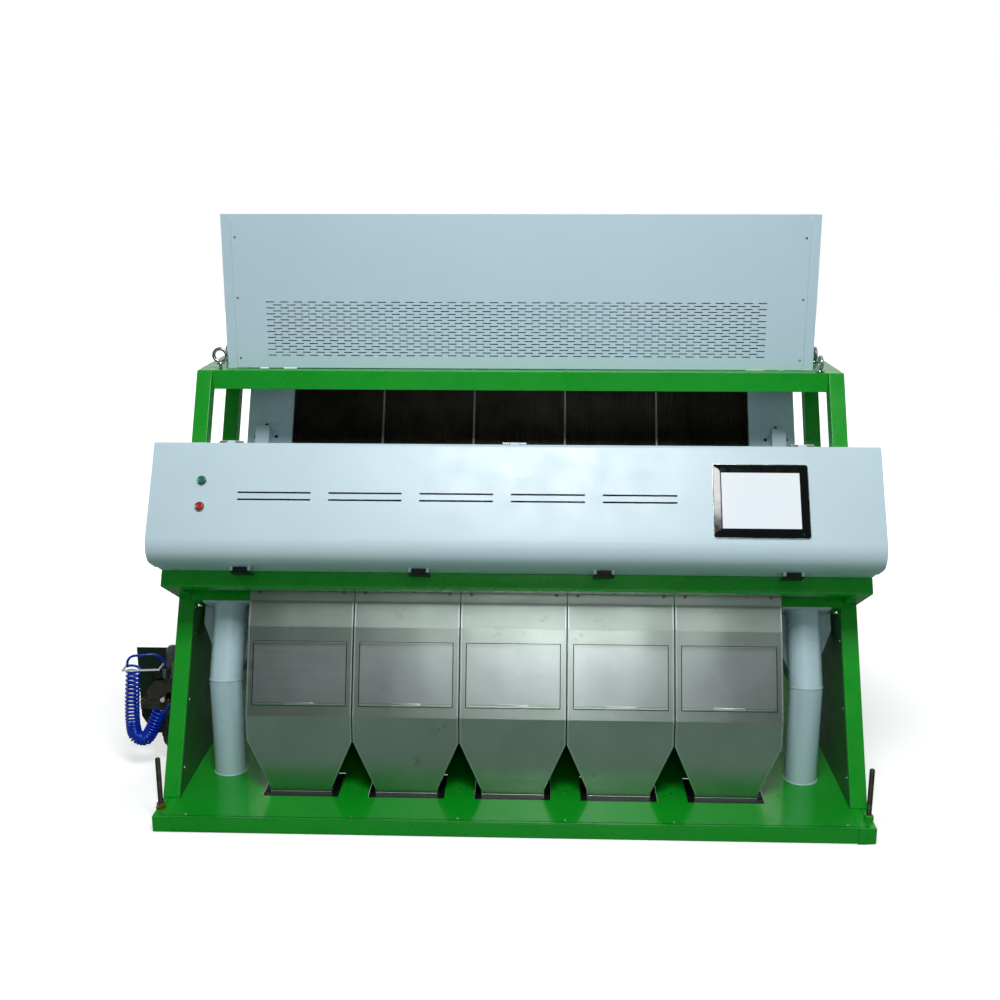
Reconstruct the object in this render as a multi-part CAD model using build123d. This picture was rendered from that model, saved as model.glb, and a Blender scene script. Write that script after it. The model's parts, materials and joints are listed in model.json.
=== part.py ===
from build123d import *
from math import cos, hypot, radians, sin, tan
import os

# Lentil sorting machine with five chutes, in millimetres.
# The origin is on the floor at the centre of the base, +Z up, -Y to the operator.

# Frame
base_width = 2100.0
base_depth = 1650.0
tube = 50.0
wall = 3.0
deck_t = 3.0
sheet = 2.0
frame_height = 1247.0
lean_deg = 28.4
running_gap = 0.3
seam_gap = 1.0

# Inclined members, as distances behind the lean line through the front lower edge
front_post_n = 77.4
middle_post_n = 446.0
top_bar_h = 62.0
top_rail_w = 120.0
box_bar_d = 1270.0
box_bar_rear_d = 1500.0
rear_post_inset = 50.0
base_cross_d = (400.0, 780.0, 1100.0)

# Front beam, its arms and the suction plenum behind it
beam_n = -122.8
beam_u = 706.0
plenum_n = 40.0
plenum_depth = 125.0
plenum_u = 694.0

# Units side by side
unit_count = 5
unit_pitch = 320.0
unit_gap = 3.0

# Feed box on top
box_width = 1918.0
box_front_d = 812.5
box_rear_d = 1560.0
box_height = 475.0
fascia_rise = 22.0
corner_strip = 31.0
vent_left = -824.0
vent_right = 816.0
vent_low = 44.0
vent_high = 216.0
vent_rows = 6
vent_columns = 9
vent_slot_h = 6.0
vent_slot_share = 0.61
box_lip = 25.0
bin_front_d = 1290.0
bin_rear_d = 1540.0
bin_neck_z = 1560.0
bin_outlet_w = 220.0
bin_outlet_d0 = 1390.0
bin_outlet_d1 = 1490.0
bin_outlet_lift = 30.0
bin_rim = 8.0

# Vibrating feeder trays
tray_width = 298.0
tray_front_d = 1242.0
tray_rear_d = 1530.0
tray_floor_z = 1318.0
tray_wall_h = 45.0
keel_w = 20.0
keel_h = 26.0
drive_w = 80.0
drive_front_d = 1330.0
drive_rear_d = 1450.0
drive_base_t = 12.0
spring_t = 3.0
spring_w = 20.0
spring_rake = 10.0
coil_h = 26.0

# Chutes
chute_n = 463.0
chute_plate_t = 6.0
chute_side_h = 17.0
chute_side_t = 2.5
chute_low_u = 1020.0
chute_high_u = 1735.0
groove_count = 10
groove_depth = 3.0
chute_tube = 40.0
chute_low_tube_u = 1130.0
chute_high_tube_u = 1560.0
side_plate_n = 446.0
side_plate_low_u = 1020.0
side_plate_high_u = 1598.0
side_plate_out = 960.0
side_plate_return = 32.0
arm_x = 869.0
arm_w = 48.0
arm_n = 380.0
arm_high_u = 1367.0
arm_flange_w = 100.0
arm_flange_h = 90.0

# Optics
housing_half = 1050.0
housing_top_u = 1111.0
split_top_n = -243.0
split_low_n = -165.0
snout_half = 940.0
snout_n = 399.0
snout_low_u = 920.0
snout_high_u = 1060.0
window_half = 800.0
window_low_u = 960.0
window_high_u = 1020.0
glass_t = 4.0
glass_lap = 6.0
rear_optics_n = 530.0
rear_optics_low_z = 575.0
rear_optics_high_z = 800.0
rear_optics_d = 1330.0
rear_optics_half = 900.0
camera_w = 60.0
camera_len = 100.0
lens_r = 22.0
lens_len = 30.0
camera_u = 990.0
camera_n = -60.0
rear_camera_d = 1180.0
ejector_n = 340.0
ejector_h = 42.0
ejector_len = 80.0

# Front cover with its hinges, buttons and touch panel
cover_half = 1055.0
cover_front_top_n = -274.5
cover_front_low_n = -289.4
cover_low_r = 62.0
cover_top_r = 12.0
cover_split_gap = 2.0
hinge_x = 835.0
hinge_len = 70.0
hinge_r = 6.0
hinge_pin_r = 3.0
pin_clear = 0.05
slot_pairs = 5
slot_first_x = -797.3
slot_pitch = 263.2
slot_len = 212.0
slot_h = 5.0
slot_u = (957.0, 936.0)
panel_x = 704.5
panel_w = 271.0
panel_low_u = 834.0
panel_high_u = 1051.0
panel_t = 6.0
screen_w = 222.0
screen_h = 165.0
screen_lift = 27.0
screen_t = 2.0
panel_body_w = 250.0
panel_body_h = 190.0
panel_body_t = 45.0
button_x = -904.5
start_u = 991.0
stop_u = 912.5
button_cap_r = 10.9
button_collar_r = 14.5
button_collar_h = 5.0
button_cap_h = 7.5
button_stem_r = 5.7
button_stem_len = 22.0
button_travel = 3.0
latch_x = (-798.0, -275.0, 263.0, 808.0)
latch_w = 60.0
latch_t = 12.0
latch_len = 46.0
latch_lug = 8.0
latch_pin_r = 2.5

# Discharge hoppers and sample doors
hopper_front_n = -38.0
hopper_top_u = 716.0
hopper_bend_u = 603.6
hopper_front_d = 160.0
hopper_knee_z = 300.0
hopper_taper_z = 220.0
spout_w = 189.0
spout_top_z = 70.0
spout_low_z = 42.0
spout_rear_d = 290.0
hopper_rear_d = 852.0
hopper_rear_z = 505.0
hopper_rim_z = 530.0
window_w = 264.0
sill_rise = 46.0
door_w = 280.0
door_rise = 40.0
door_h = 182.0
door_gap = 3.0
stop_lap = 6.0
door_lip = 14.0
knuckle_count = 3
knuckle_r = 3.5
knuckle_pin_r = 1.5
cutout_w = 230.0
cutout_front_d = 138.0
cutout_rear_d = 300.0
hanger_t = 3.0

# Reject trough behind the discharge hoppers
reject_front_d = 856.0
reject_top_z = 500.0
reject_mouth_w = 294.0
reject_rear_d = reject_front_d + reject_mouth_w
reject_rear_z = 555.0
reject_neck_z = 140.0
reject_neck_w = 106.0
reject_neck_d = reject_front_d + reject_neck_w
reject_foot = 20.0

# Dust pipes and side funnels
pipe_x = 890.0
pipe_d = 309.5
pipe_r = 50.0
pipe_wall = 2.0
pipe_bend_z = 354.0
outlet_r = 49.0
outlet_drop = 27.0
flange_half = 75.0
flange_depth = 60.0
flange_t = 6.0
funnel_in = 805.0
funnel_out = 988.0
funnel_depth = 100.0
funnel_low_u = 640.0
funnel_tip_u = 500.0
funnel_tip_in = 860.0
funnel_tip_out = 930.0

# Side panels and the cabinet at the back
side_panel_z = 545.0
side_panel_n = 80.0
cabinet_half = 450.0
cabinet_low_z = 600.0
cabinet_high_z = 1197.0
cabinet_front_d = 1420.0
cabinet_rail_z = 560.0
door_pan = 20.0
door_margin = 14.0
cabinet_hinge_r = 7.0
cabinet_pin_r = 3.5
cabinet_knuckle = 80.0

# Levelling screws and lifting eyes
jack_x = 1037.0
jack_d = 53.0
jack_r = 8.0
jack_h = 210.0
nut_af = 24.0
nut_h = 13.0
washer_r = 15.0
washer_t = 3.0
eye_x = 977.0
eye_d = 786.0
eye_rear_d = 1010.0
eye_rear_x = 1005.0
eye_ring_r = 21.0
eye_wire_r = 6.0
eye_collar_r = 14.0
eye_collar_h = 8.0
eye_shank_r = 6.0
eye_lift = 17.0

# Air treatment unit on the left side
air_plate_d = 480.0
air_plate_out = 195.0
air_plate_low = 85.0
air_plate_high = 410.0
air_plate_t = 3.0
air_foot_len = 190.0
regulator_x = -1098.0
regulator_w = 60.0
regulator_z = 306.0
regulator_h = 50.0
air_body_t = 46.0
knob_r = 22.0
knob_h = 46.0
knob_stem_r = 5.0
bowl_x = -1131.0
bowl_r = 19.0
bowl_low_z = 64.0
bowl_high_z = 190.0
filter_h = 58.0
hose_d = 400.0
band_from_x = -1236.0
band_to_x = -1120.0
band_z = 350.0
band_w = 7.0
hose_r = 4.0
coil_r = 23.5
port_r = 7.0

lean = radians(lean_deg)
sin_lean = sin(lean)
cos_lean = cos(lean)
half_width = base_width / 2
inner = half_width - tube
cross_h = tube - deck_t
rail_in = half_width - top_rail_w
beam_top_u = beam_u + tube
units_half = unit_pitch * unit_count / 2
unit_x = [unit_pitch * (i - (unit_count - 1) / 2) for i in range(unit_count)]
box_half = box_width / 2
box_top_z = frame_height + box_height
parts = {}


def place(d):
    """Y of a point that lies d behind the front edge of the base."""
    return d - base_depth / 2


def lean_point(n, u):
    """(Y, Z) of a point n behind the lean line and u along it."""
    return place(n * cos_lean + u * sin_lean), u * cos_lean - n * sin_lean


def lean_d(n, z):
    """Distance behind the front edge of the plane n, at height z."""
    return (n + z * sin_lean) / cos_lean


def block(x0, x1, d0, d1, z0, z1):
    """Box between two corners, its depth measured from the front edge."""
    size = Box(x1 - x0, d1 - d0, z1 - z0)
    return Pos((x0 + x1) / 2, place((d0 + d1) / 2), (z0 + z1) / 2) * size


def prism(points, x0, x1):
    """Outline of (Y, Z) points, extruded from x0 to x1."""
    outline = Polyline([(x0, y, z) for y, z in points], close=True)
    return extrude(make_face(outline), amount=x1 - x0, dir=(1, 0, 0))


def lean_block(x0, x1, n0, n1, u0, u1):
    """Box that leans with the posts."""
    corners = ((n0, u0), (n1, u0), (n1, u1), (n0, u1))
    return prism([lean_point(n, u) for n, u in corners], x0, x1)


def inset(points, gaps):
    """Outline with each side moved inwards by its own gap."""
    count = len(points)
    pairs = list(zip(points, points[1:] + points[:1]))
    area = sum(a[0] * b[1] - b[0] * a[1] for a, b in pairs)
    turn = 1 if area > 0 else -1
    sides = []
    for (a, b), gap in zip(pairs, gaps):
        length = hypot(b[0] - a[0], b[1] - a[1])
        along = ((b[0] - a[0]) / length, (b[1] - a[1]) / length)
        inward = (-along[1] * turn, along[0] * turn)
        start = (a[0] + inward[0] * gap, a[1] + inward[1] * gap)
        sides.append((start, along))
    result = []
    for i in range(count):
        (p, v), (q, w) = sides[i - 1], sides[i]
        cross = v[0] * w[1] - v[1] * w[0]
        step = ((q[0] - p[0]) * w[1] - (q[1] - p[1]) * w[0]) / cross
        result.append((p[0] + v[0] * step, p[1] + v[1] * step))
    return result


def shell_prism(points, x0, x1, gaps, end=sheet):
    """Sheet housing: an outline less its inset, with both ends closed."""
    return prism(points, x0, x1) - prism(inset(points, gaps), x0 + end, x1 - end)


def square_tube(x0, x1, d0, d1, z0, z1):
    """Welded square tube with closed ends."""
    void = block(x0 + wall, x1 - wall, d0 + wall, d1 - wall, z0 + wall, z1 - wall)
    return block(x0, x1, d0, d1, z0, z1) - void


def lean_tube(x0, x1, n0, n1, u0, u1):
    """Square tube that leans with the posts, with closed ends."""
    void = lean_block(x0 + wall, x1 - wall, n0 + wall, n1 - wall, u0 + wall, u1 - wall)
    return lean_block(x0, x1, n0, n1, u0, u1) - void


def leaning_post(x0, x1, n0, z0, z1):
    """Inclined post whose ends are cut level."""
    def outline(front, back, low, high):
        return [(place(lean_d(front, low)), low), (place(lean_d(back, low)), low),
                (place(lean_d(back, high)), high), (place(lean_d(front, high)), high)]
    body = prism(outline(n0, n0 + tube, z0, z1), x0, x1)
    void = outline(n0 + wall, n0 + tube - wall, z0 + wall, z1 - wall)
    return body - prism(void, x0 + wall, x1 - wall)


def rod_x(x0, x1, y, z, radius):
    """Round bar along X."""
    return Plane(origin=(x0, y, z), z_dir=(1, 0, 0)) * extrude(Circle(radius), x1 - x0)


def rod_z(x, y, z0, z1, radius):
    """Round bar along Z."""
    return Pos(x, y, z0) * extrude(Circle(radius), z1 - z0)


def faceted_x(x0, x1, y, z, radius, count=8):
    """Bar with flat sides along X."""
    start = Plane(origin=(x0, y, z), z_dir=(1, 0, 0))
    return start * extrude(RegularPolygon(radius, count), x1 - x0)


def faceted_z(x, y, z0, z1, radius, count=8):
    """Bar with flat sides along Z."""
    return Pos(x, y, z0) * extrude(RegularPolygon(radius, count), z1 - z0)


def sides(make):
    """The same piece on the left and on the right."""
    piece = make()
    return [piece, mirror(piece, about=Plane.YZ)]


def node(name, *solids):
    """Keep the solids of one named part."""
    found = []
    for shape in solids:
        found += shape.solids()
    parts[name] = Compound(children=found) if len(found) > 1 else found[0]


def base_frame():
    def side():
        return square_tube(inner, half_width, 0, base_depth, 0, tube)
    starts = (0,) + base_cross_d + (base_depth - tube,)
    cross = [square_tube(-inner, inner, d, d + tube, 0, cross_h) for d in starts]
    node("base_frame", *sides(side), *cross)


def deck_plate():
    plate = block(-inner, inner, 0, base_depth, cross_h, tube)
    for x in unit_x:
        plate -= block(x - cutout_w / 2, x + cutout_w / 2, cutout_front_d, cutout_rear_d, 0, tube)
    reach = units_half + seam_gap
    plate -= block(-reach, reach, reject_front_d - seam_gap, reject_neck_d + seam_gap, 0, tube)
    for x in (-pipe_x, pipe_x):
        plate += rod_z(x, place(pipe_d), cross_h - outlet_drop, cross_h, outlet_r + wall)
        plate -= rod_z(x, place(pipe_d), 0, tube, outlet_r)
    node("deck_plate", plate)


def posts():
    rail_z = frame_height - tube
    front = sides(lambda: leaning_post(inner, half_width, front_post_n, tube, frame_height))
    middle = sides(lambda: leaning_post(inner, half_width, middle_post_n, tube, rail_z))
    rear_out = half_width - rear_post_inset
    rear = sides(lambda: square_tube(rear_out - tube, rear_out, base_depth - tube, base_depth,
                                     tube, rail_z))
    node("posts", *front, *middle, *rear)


def top_frame():
    low = frame_height - tube
    bar_d = lean_d(front_post_n, frame_height)
    bar = square_tube(-inner, inner, bar_d, bar_d + tube, frame_height - top_bar_h, frame_height)

    def rail():
        back_n = front_post_n + tube
        mitre = [(place(lean_d(back_n, low)), low), (place(base_depth), low),
                 (place(base_depth), frame_height), (place(lean_d(back_n, frame_height)), frame_height)]
        body = prism(mitre, inner, half_width)
        body += block(rail_in, inner, bar_d + tube, base_depth, low, frame_height)
        body -= block(rail_in + wall, half_width - wall, bar_d + tube + 3 * wall,
                      base_depth - wall, low + wall, frame_height - wall)
        return body
    bars = [square_tube(-rail_in, rail_in, d, d + tube, low, frame_height)
            for d in (box_bar_d, box_bar_rear_d, base_depth - tube)]
    bed = block(-rail_in, rail_in, box_bar_d - 8, box_rear_d - sheet - box_lip, frame_height,
                frame_height + deck_t)
    node("top_frame", bar, *sides(rail), *bars, bed)


def front_beam():
    beam = lean_tube(-half_width, half_width, beam_n, beam_n + tube, beam_u, beam_top_u)
    arms = sides(lambda: lean_tube(inner, half_width, beam_n + tube, front_post_n, beam_u,
                                   beam_top_u))
    node("front_beam", beam, *arms)


def cross_beams():
    plenum = lean_tube(-inner, inner, plenum_n, plenum_n + plenum_depth, plenum_u, plenum_u + tube)
    for x in (-pipe_x, pipe_x):
        plenum -= pipe_axis_bar(x, plenum_u - wall, plenum_u + 2 * wall, pipe_r - pipe_wall)
    hanger = lean_block(-units_half, units_half, hopper_front_n + sheet, plenum_n, hopper_top_u,
                        hopper_top_u + hanger_t)
    hanger += lean_block(-units_half, units_half, hopper_front_n + sheet,
                         hopper_front_n + sheet + hanger_t, hopper_top_u - chute_tube,
                         hopper_top_u)
    back_n = chute_n + chute_plate_t + 9
    low = lean_tube(-inner, inner, back_n, rear_optics_n, chute_low_tube_u,
                    chute_low_tube_u + chute_tube)
    high = lean_tube(-inner, inner, back_n, back_n + chute_tube, chute_high_tube_u,
                     chute_high_tube_u + chute_tube)
    rear_in = half_width - rear_post_inset - tube
    rail = square_tube(-rear_in, rear_in, base_depth - tube, base_depth, cabinet_rail_z,
                       cabinet_rail_z + tube)
    node("cross_beams", plenum, hanger, low, high, rail)


def side_panels():
    low = [(place(lean_d(side_panel_n, tube)), tube), (place(base_depth - tube), tube),
           (place(base_depth - tube), side_panel_z),
           (place(lean_d(side_panel_n, side_panel_z)), side_panel_z)]
    notch = lean_block(inner - 2 * sheet, inner + sheet, plenum_n - seam_gap,
                       plenum_n + plenum_depth + seam_gap, plenum_u - seam_gap,
                       plenum_u + tube)
    node("side_panels", *sides(lambda: prism(low, inner - sheet, inner) - notch))


def lifting_eyes():
    def eye(x, d, lift, turned):
        base = frame_height + lift
        ring_z = base + eye_collar_h + eye_ring_r
        across = (1, 0, 0) if turned else (0, 1, 0)
        start = Plane(origin=(x, place(d), ring_z), x_dir=(0, 0, 1), z_dir=across)
        outline = RegularPolygon(eye_ring_r + eye_wire_r, 16)
        outline -= RegularPolygon(eye_ring_r - eye_wire_r, 16)
        body = start * extrude(outline, eye_wire_r, both=True)
        body += faceted_z(x, place(d), base, base + eye_collar_h + 2, eye_collar_r, 12)
        if lift:
            body += faceted_z(x, place(d), frame_height, base, eye_shank_r)
        return body
    node("lifting_eyes", eye(-eye_x, eye_d, eye_lift, False), eye(eye_x, eye_d, 0, True),
         eye(-eye_rear_x, eye_rear_d, 0, True), eye(eye_rear_x, eye_rear_d, 0, True))


def levelling_screws():
    pieces = []
    for x in (-jack_x, jack_x):
        for d in (jack_d, base_depth - jack_d):
            y = place(d)
            screw = faceted_z(x, y, tube, jack_h, jack_r)
            screw += faceted_z(x, y, tube, tube + washer_t, washer_r, 12)
            hexagon = RegularPolygon(nut_af / 2, 6, major_radius=False)
            screw += Pos(x, y, tube + washer_t) * extrude(hexagon, nut_h)
            pieces.append(screw)
    node("levelling_screws", *pieces)


def feed_box():
    shell = block(-box_half, box_half, box_front_d, box_rear_d, frame_height, box_top_z)
    shell -= block(-box_half + sheet, box_half - sheet, box_front_d - sheet, box_rear_d - sheet,
                   frame_height, box_top_z - sheet)
    lip_in = box_half - sheet - box_lip
    lip = block(-box_half, box_half, box_front_d, box_rear_d, frame_height, frame_height + sheet)
    lip -= block(-lip_in, lip_in, box_front_d - sheet, box_rear_d - box_lip, 0, box_top_z)
    shell += lip
    reach = units_half - bin_rim + sheet
    shell -= block(-reach, reach, bin_front_d - sheet, bin_rear_d + sheet, bin_neck_z,
                   box_top_z + sheet)
    cover_reach = box_half - corner_strip
    shell -= block(-cover_reach, cover_reach, box_front_d - sheet, box_front_d + sheet + running_gap,
                   frame_height + sheet, box_top_z + sheet)
    for side in (-1, 1):
        edge = side * box_half
        strip = sorted((edge, edge - side * corner_strip))
        shell += block(*strip, box_front_d, box_front_d + sheet, frame_height,
                       box_top_z + fascia_rise)
        flange = sorted((edge - side * (corner_strip - sheet), edge - side * 2 * corner_strip))
        shell += block(*flange, box_front_d + sheet, box_front_d + 2 * sheet, frame_height,
                       box_top_z)
    node("feed_box", shell)


def vent_panel():
    reach = box_half - corner_strip - seam_gap
    panel = block(-reach, reach, box_front_d, box_front_d + sheet, frame_height + sheet,
                  box_top_z + fascia_rise)
    pitch_x = (vent_right - vent_left) / vent_columns
    pitch_z = (vent_high - vent_low) / (vent_rows - 1)
    length = pitch_x * vent_slot_share
    slots = []
    for row in range(vent_rows):
        shift = (0.28 if row % 2 == 0 else 0.72) * pitch_x
        z = frame_height + vent_low + row * pitch_z
        for column in range(vent_columns):
            x = vent_left + column * pitch_x + shift
            if x + length / 2 < vent_right + pitch_x / 2:
                slots.append(block(x - length / 2, x + length / 2, box_front_d - 1,
                                   box_front_d + sheet + 1, z, z + vent_slot_h))
    node("vent_panel", panel - slots)


def feed_bins():
    def bin_shape(x, half_top, d0, d1, half_low, e0, e1, low, high):
        body = block(x - half_top, x + half_top, d0, d1, bin_neck_z, high)
        mid_top = (x, place((d0 + d1) / 2), bin_neck_z)
        mid_low = (x, place((e0 + e1) / 2), low)
        funnel = loft([Plane(mid_low) * Rectangle(2 * half_low, e1 - e0),
                       Plane(mid_top) * Rectangle(2 * half_top, d1 - d0)], ruled=True)
        return body + funnel
    low = tray_floor_z + sheet + bin_outlet_lift
    half = unit_pitch / 2 - unit_gap
    bins = []
    for x in unit_x:
        outer = bin_shape(x, half - bin_rim, bin_front_d, bin_rear_d, bin_outlet_w / 2,
                          bin_outlet_d0, bin_outlet_d1, low, box_top_z + sheet)
        rim = block(x - half, x + half, bin_front_d - bin_rim, bin_rear_d + bin_rim, box_top_z,
                    box_top_z + sheet)
        hollow = bin_shape(x, half - bin_rim - sheet, bin_front_d + sheet, bin_rear_d - sheet,
                           bin_outlet_w / 2 - sheet, bin_outlet_d0 + sheet,
                           bin_outlet_d1 - sheet, low, box_top_z + sheet)
        bins.append(outer + rim - hollow)
    node("feed_bins", *bins)


def feeder_trays():
    bottom = tray_floor_z + sheet
    for i, x in enumerate(unit_x):
        reach = tray_width / 2
        tray = block(x - reach, x + reach, tray_front_d, tray_rear_d, tray_floor_z,
                     bottom + tray_wall_h)
        tray -= block(x - reach + sheet, x + reach - sheet, tray_front_d - 1,
                      tray_rear_d - sheet, bottom, bottom + tray_wall_h)
        tray += block(x - keel_w / 2, x + keel_w / 2, drive_front_d - spring_w,
                      drive_rear_d + spring_w, tray_floor_z - keel_h, tray_floor_z)
        node(f"feeder_tray_{i + 1}", tray)


def feeder_drives():
    drives = []
    base_z = frame_height + deck_t
    top_z = base_z + drive_base_t
    spring_top = tray_floor_z - 2 * running_gap - sheet
    for x in unit_x:
        drive = block(x - drive_w / 2, x + drive_w / 2, drive_front_d, drive_rear_d, base_z, top_z)
        middle = (drive_front_d + drive_rear_d) / 2
        drive += block(x - drive_w / 3, x + drive_w / 3, middle - coil_h, middle + coil_h, top_z,
                       top_z + coil_h)
        near = keel_w / 2 + running_gap
        for d in (drive_front_d, drive_rear_d - spring_w):
            blade = [(place(d), top_z), (place(d + spring_w), top_z),
                     (place(d + spring_w - spring_rake), spring_top),
                     (place(d - spring_rake), spring_top)]
            drive += prism(blade, x + near, x + near + spring_t)
            drive += prism(blade, x - near - spring_t, x - near)
        drives.append(drive)
    node("feeder_drives", *drives)


def chutes():
    def profile():
        half = (unit_pitch - unit_gap) / 2 + seam_gap / 2
        floor_half = half - chute_side_t
        pitch = 2 * floor_half / groove_count
        points = [(-half, chute_plate_t), (-half, -chute_side_h), (-floor_half, -chute_side_h),
                  (-floor_half, 0)]
        for i in range(groove_count):
            x = -floor_half + (i + 0.5) * pitch
            points += [(x - pitch / 4, 0), (x, groove_depth), (x + pitch / 4, 0)]
        points += [(floor_half, 0), (floor_half, -chute_side_h), (half, -chute_side_h),
                   (half, chute_plate_t)]
        return points
    y, z = lean_point(chute_n, chute_low_u)
    pieces = []
    for x in unit_x:
        start = Plane(origin=(x, y, z), x_dir=(1, 0, 0), z_dir=(0, sin_lean, cos_lean))
        outline = make_face(Polyline(profile(), close=True))
        pieces.append(start * extrude(outline, chute_high_u - chute_low_u))
    node("chutes", *pieces)


def chute_frame():
    back_n = chute_n + chute_plate_t + 9

    def plate():
        near = units_half + 2 * seam_gap
        low, high = side_plate_low_u, side_plate_high_u
        body = lean_block(near, side_plate_out, side_plate_n, side_plate_n + sheet, low, high)
        body += lean_block(near, near + sheet, side_plate_n, back_n, low, high)
        body += lean_block(side_plate_out - sheet, side_plate_out, side_plate_n, back_n, low,
                           high)
        return body
    pads = [lean_block(-units_half + 10, units_half - 10, chute_n + chute_plate_t, back_n, u + 10,
                       u + 30) for u in (chute_low_tube_u, chute_high_tube_u)]
    node("chute_frame", *sides(plate), *pads)


def cover_arms():
    def arm():
        foot = side_plate_n - sheet
        middle = arm_x + arm_w / 2
        body = lean_tube(arm_x, arm_x + arm_w, arm_n, foot, snout_high_u, arm_high_u)
        body += lean_block(middle - arm_flange_w / 2, middle + arm_flange_w / 2, foot,
                           side_plate_n, arm_high_u - arm_flange_h / 2,
                           arm_high_u + arm_flange_h / 3)
        return body
    node("cover_arms", *sides(arm))


def front_optics():
    outline = [(split_low_n, beam_top_u), (front_post_n, beam_top_u),
               (front_post_n, housing_top_u), (split_top_n, housing_top_u)]
    inner_line = inset(outline, (sheet, sheet, sheet, -2 * sheet))

    def lean_prism(points, reach):
        return prism([lean_point(n, u) for n, u in points], -reach, reach)
    body = lean_prism(outline, housing_half)
    body += lean_block(-snout_half, snout_half, front_post_n - sheet, snout_n, snout_low_u,
                       snout_high_u)
    body -= lean_prism(inner_line, housing_half - sheet)
    body -= lean_block(-snout_half + sheet, snout_half - sheet, front_post_n - 2 * sheet,
                       snout_n - sheet, snout_low_u + sheet, snout_high_u - sheet)
    body -= lean_block(-window_half, window_half, snout_n - 2 * sheet, snout_n + sheet,
                       window_low_u, window_high_u)
    node("front_optics_box", body)


def rear_optics():
    low, high = rear_optics_low_z, rear_optics_high_z
    outline = [(place(lean_d(rear_optics_n, low)), low), (place(rear_optics_d), low),
               (place(rear_optics_d), high), (place(lean_d(rear_optics_n, high)), high)]
    body = shell_prism(outline, -rear_optics_half, rear_optics_half, [sheet] * 4)
    body -= lean_block(-window_half, window_half, rear_optics_n - sheet,
                       rear_optics_n + 2 * sheet, window_low_u, window_high_u)
    node("rear_optics_box", body)


def optics_windows():
    reach = window_half + glass_lap
    low, high = window_low_u - glass_lap, window_high_u + glass_lap
    front = lean_block(-reach, reach, snout_n, snout_n + glass_t, low, high)
    rear = lean_block(-reach, reach, rear_optics_n - glass_t, rear_optics_n, low, high)
    node("optics_windows", front, rear)


def cameras():
    half = camera_w / 2
    pieces = [lean_block(-housing_half + sheet, housing_half - sheet, camera_n - camera_len,
                         camera_n - half, camera_u - half - chute_tube / 2, camera_u - half)]
    for x in unit_x:
        body = lean_block(x - half, x + half, camera_n - camera_len, camera_n, camera_u - half,
                          camera_u + half)
        y, z = lean_point(camera_n, camera_u)
        seat = Plane(origin=(x, y, z), z_dir=(0, cos_lean, -sin_lean))
        pieces.append(body + seat * extrude(RegularPolygon(lens_r, 10), lens_len))
        low = rear_optics_low_z + sheet
        body = block(x - half, x + half, rear_camera_d, rear_camera_d + camera_len, low,
                     low + 2 * camera_w)
        y, z = place(rear_camera_d), low + 1.5 * camera_w
        seat = Plane(origin=(x, y, z), z_dir=(0, -1, 0))
        pieces.append(body + seat * extrude(RegularPolygon(lens_r, 10), lens_len))
    node("camera_units", *pieces)


def ejector_bar():
    low = snout_low_u - ejector_h
    nose = ejector_n + ejector_len
    outline = [(ejector_n, low), (nose - ejector_h / 2, low), (nose, snout_low_u - ejector_h / 3),
               (nose, snout_low_u), (ejector_n, snout_low_u)]
    node("ejector_bar", prism([lean_point(n, u) for n, u in outline], -window_half, window_half))


def hinge_axis():
    """Point (n, u) of the front cover's hinge line."""
    return split_top_n, housing_top_u + hinge_r + seam_gap


def cover_hinges():
    n, u = hinge_axis()
    y, z = lean_point(n, u)
    third = hinge_len / 3
    pieces = []
    for x in (-hinge_x, 0, hinge_x):
        leaf = lean_block(x - hinge_len / 2, x + hinge_len / 2, n + hinge_r + seam_gap,
                          n + 7 * hinge_r, housing_top_u, housing_top_u + sheet)
        for x0 in (x - hinge_len / 2, x + third / 2 + seam_gap / 2):
            x1 = x0 + third - seam_gap / 2
            leaf += faceted_x(x0, x1, y, z, hinge_r)
            leaf += lean_block(x0, x1, n, n + hinge_r + 2 * seam_gap, housing_top_u,
                               housing_top_u + sheet)
        leaf += rod_x(x - hinge_len / 2, x + hinge_len / 2, y, z, hinge_pin_r)
        pieces.append(leaf)
    node("cover_hinges", *pieces)


def face_n(u):
    """Depth n of the cover's front face at height u."""
    share = (u - beam_top_u) / (housing_top_u - beam_top_u)
    return cover_front_low_n + (cover_front_top_n - cover_front_low_n) * share


def face_plane(x, u, lift=0.0):
    """Plane on the cover's front face, its Z axis pointing at the operator."""
    y0, z0 = lean_point(face_n(beam_top_u), beam_top_u)
    y1, z1 = lean_point(face_n(housing_top_u), housing_top_u)
    length = hypot(y1 - y0, z1 - z0)
    out = (0, -(z1 - z0) / length, (y1 - y0) / length)
    y, z = lean_point(face_n(u), u)
    return Plane(origin=(x, y + out[1] * lift, z + out[2] * lift), x_dir=(1, 0, 0), z_dir=out)


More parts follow.
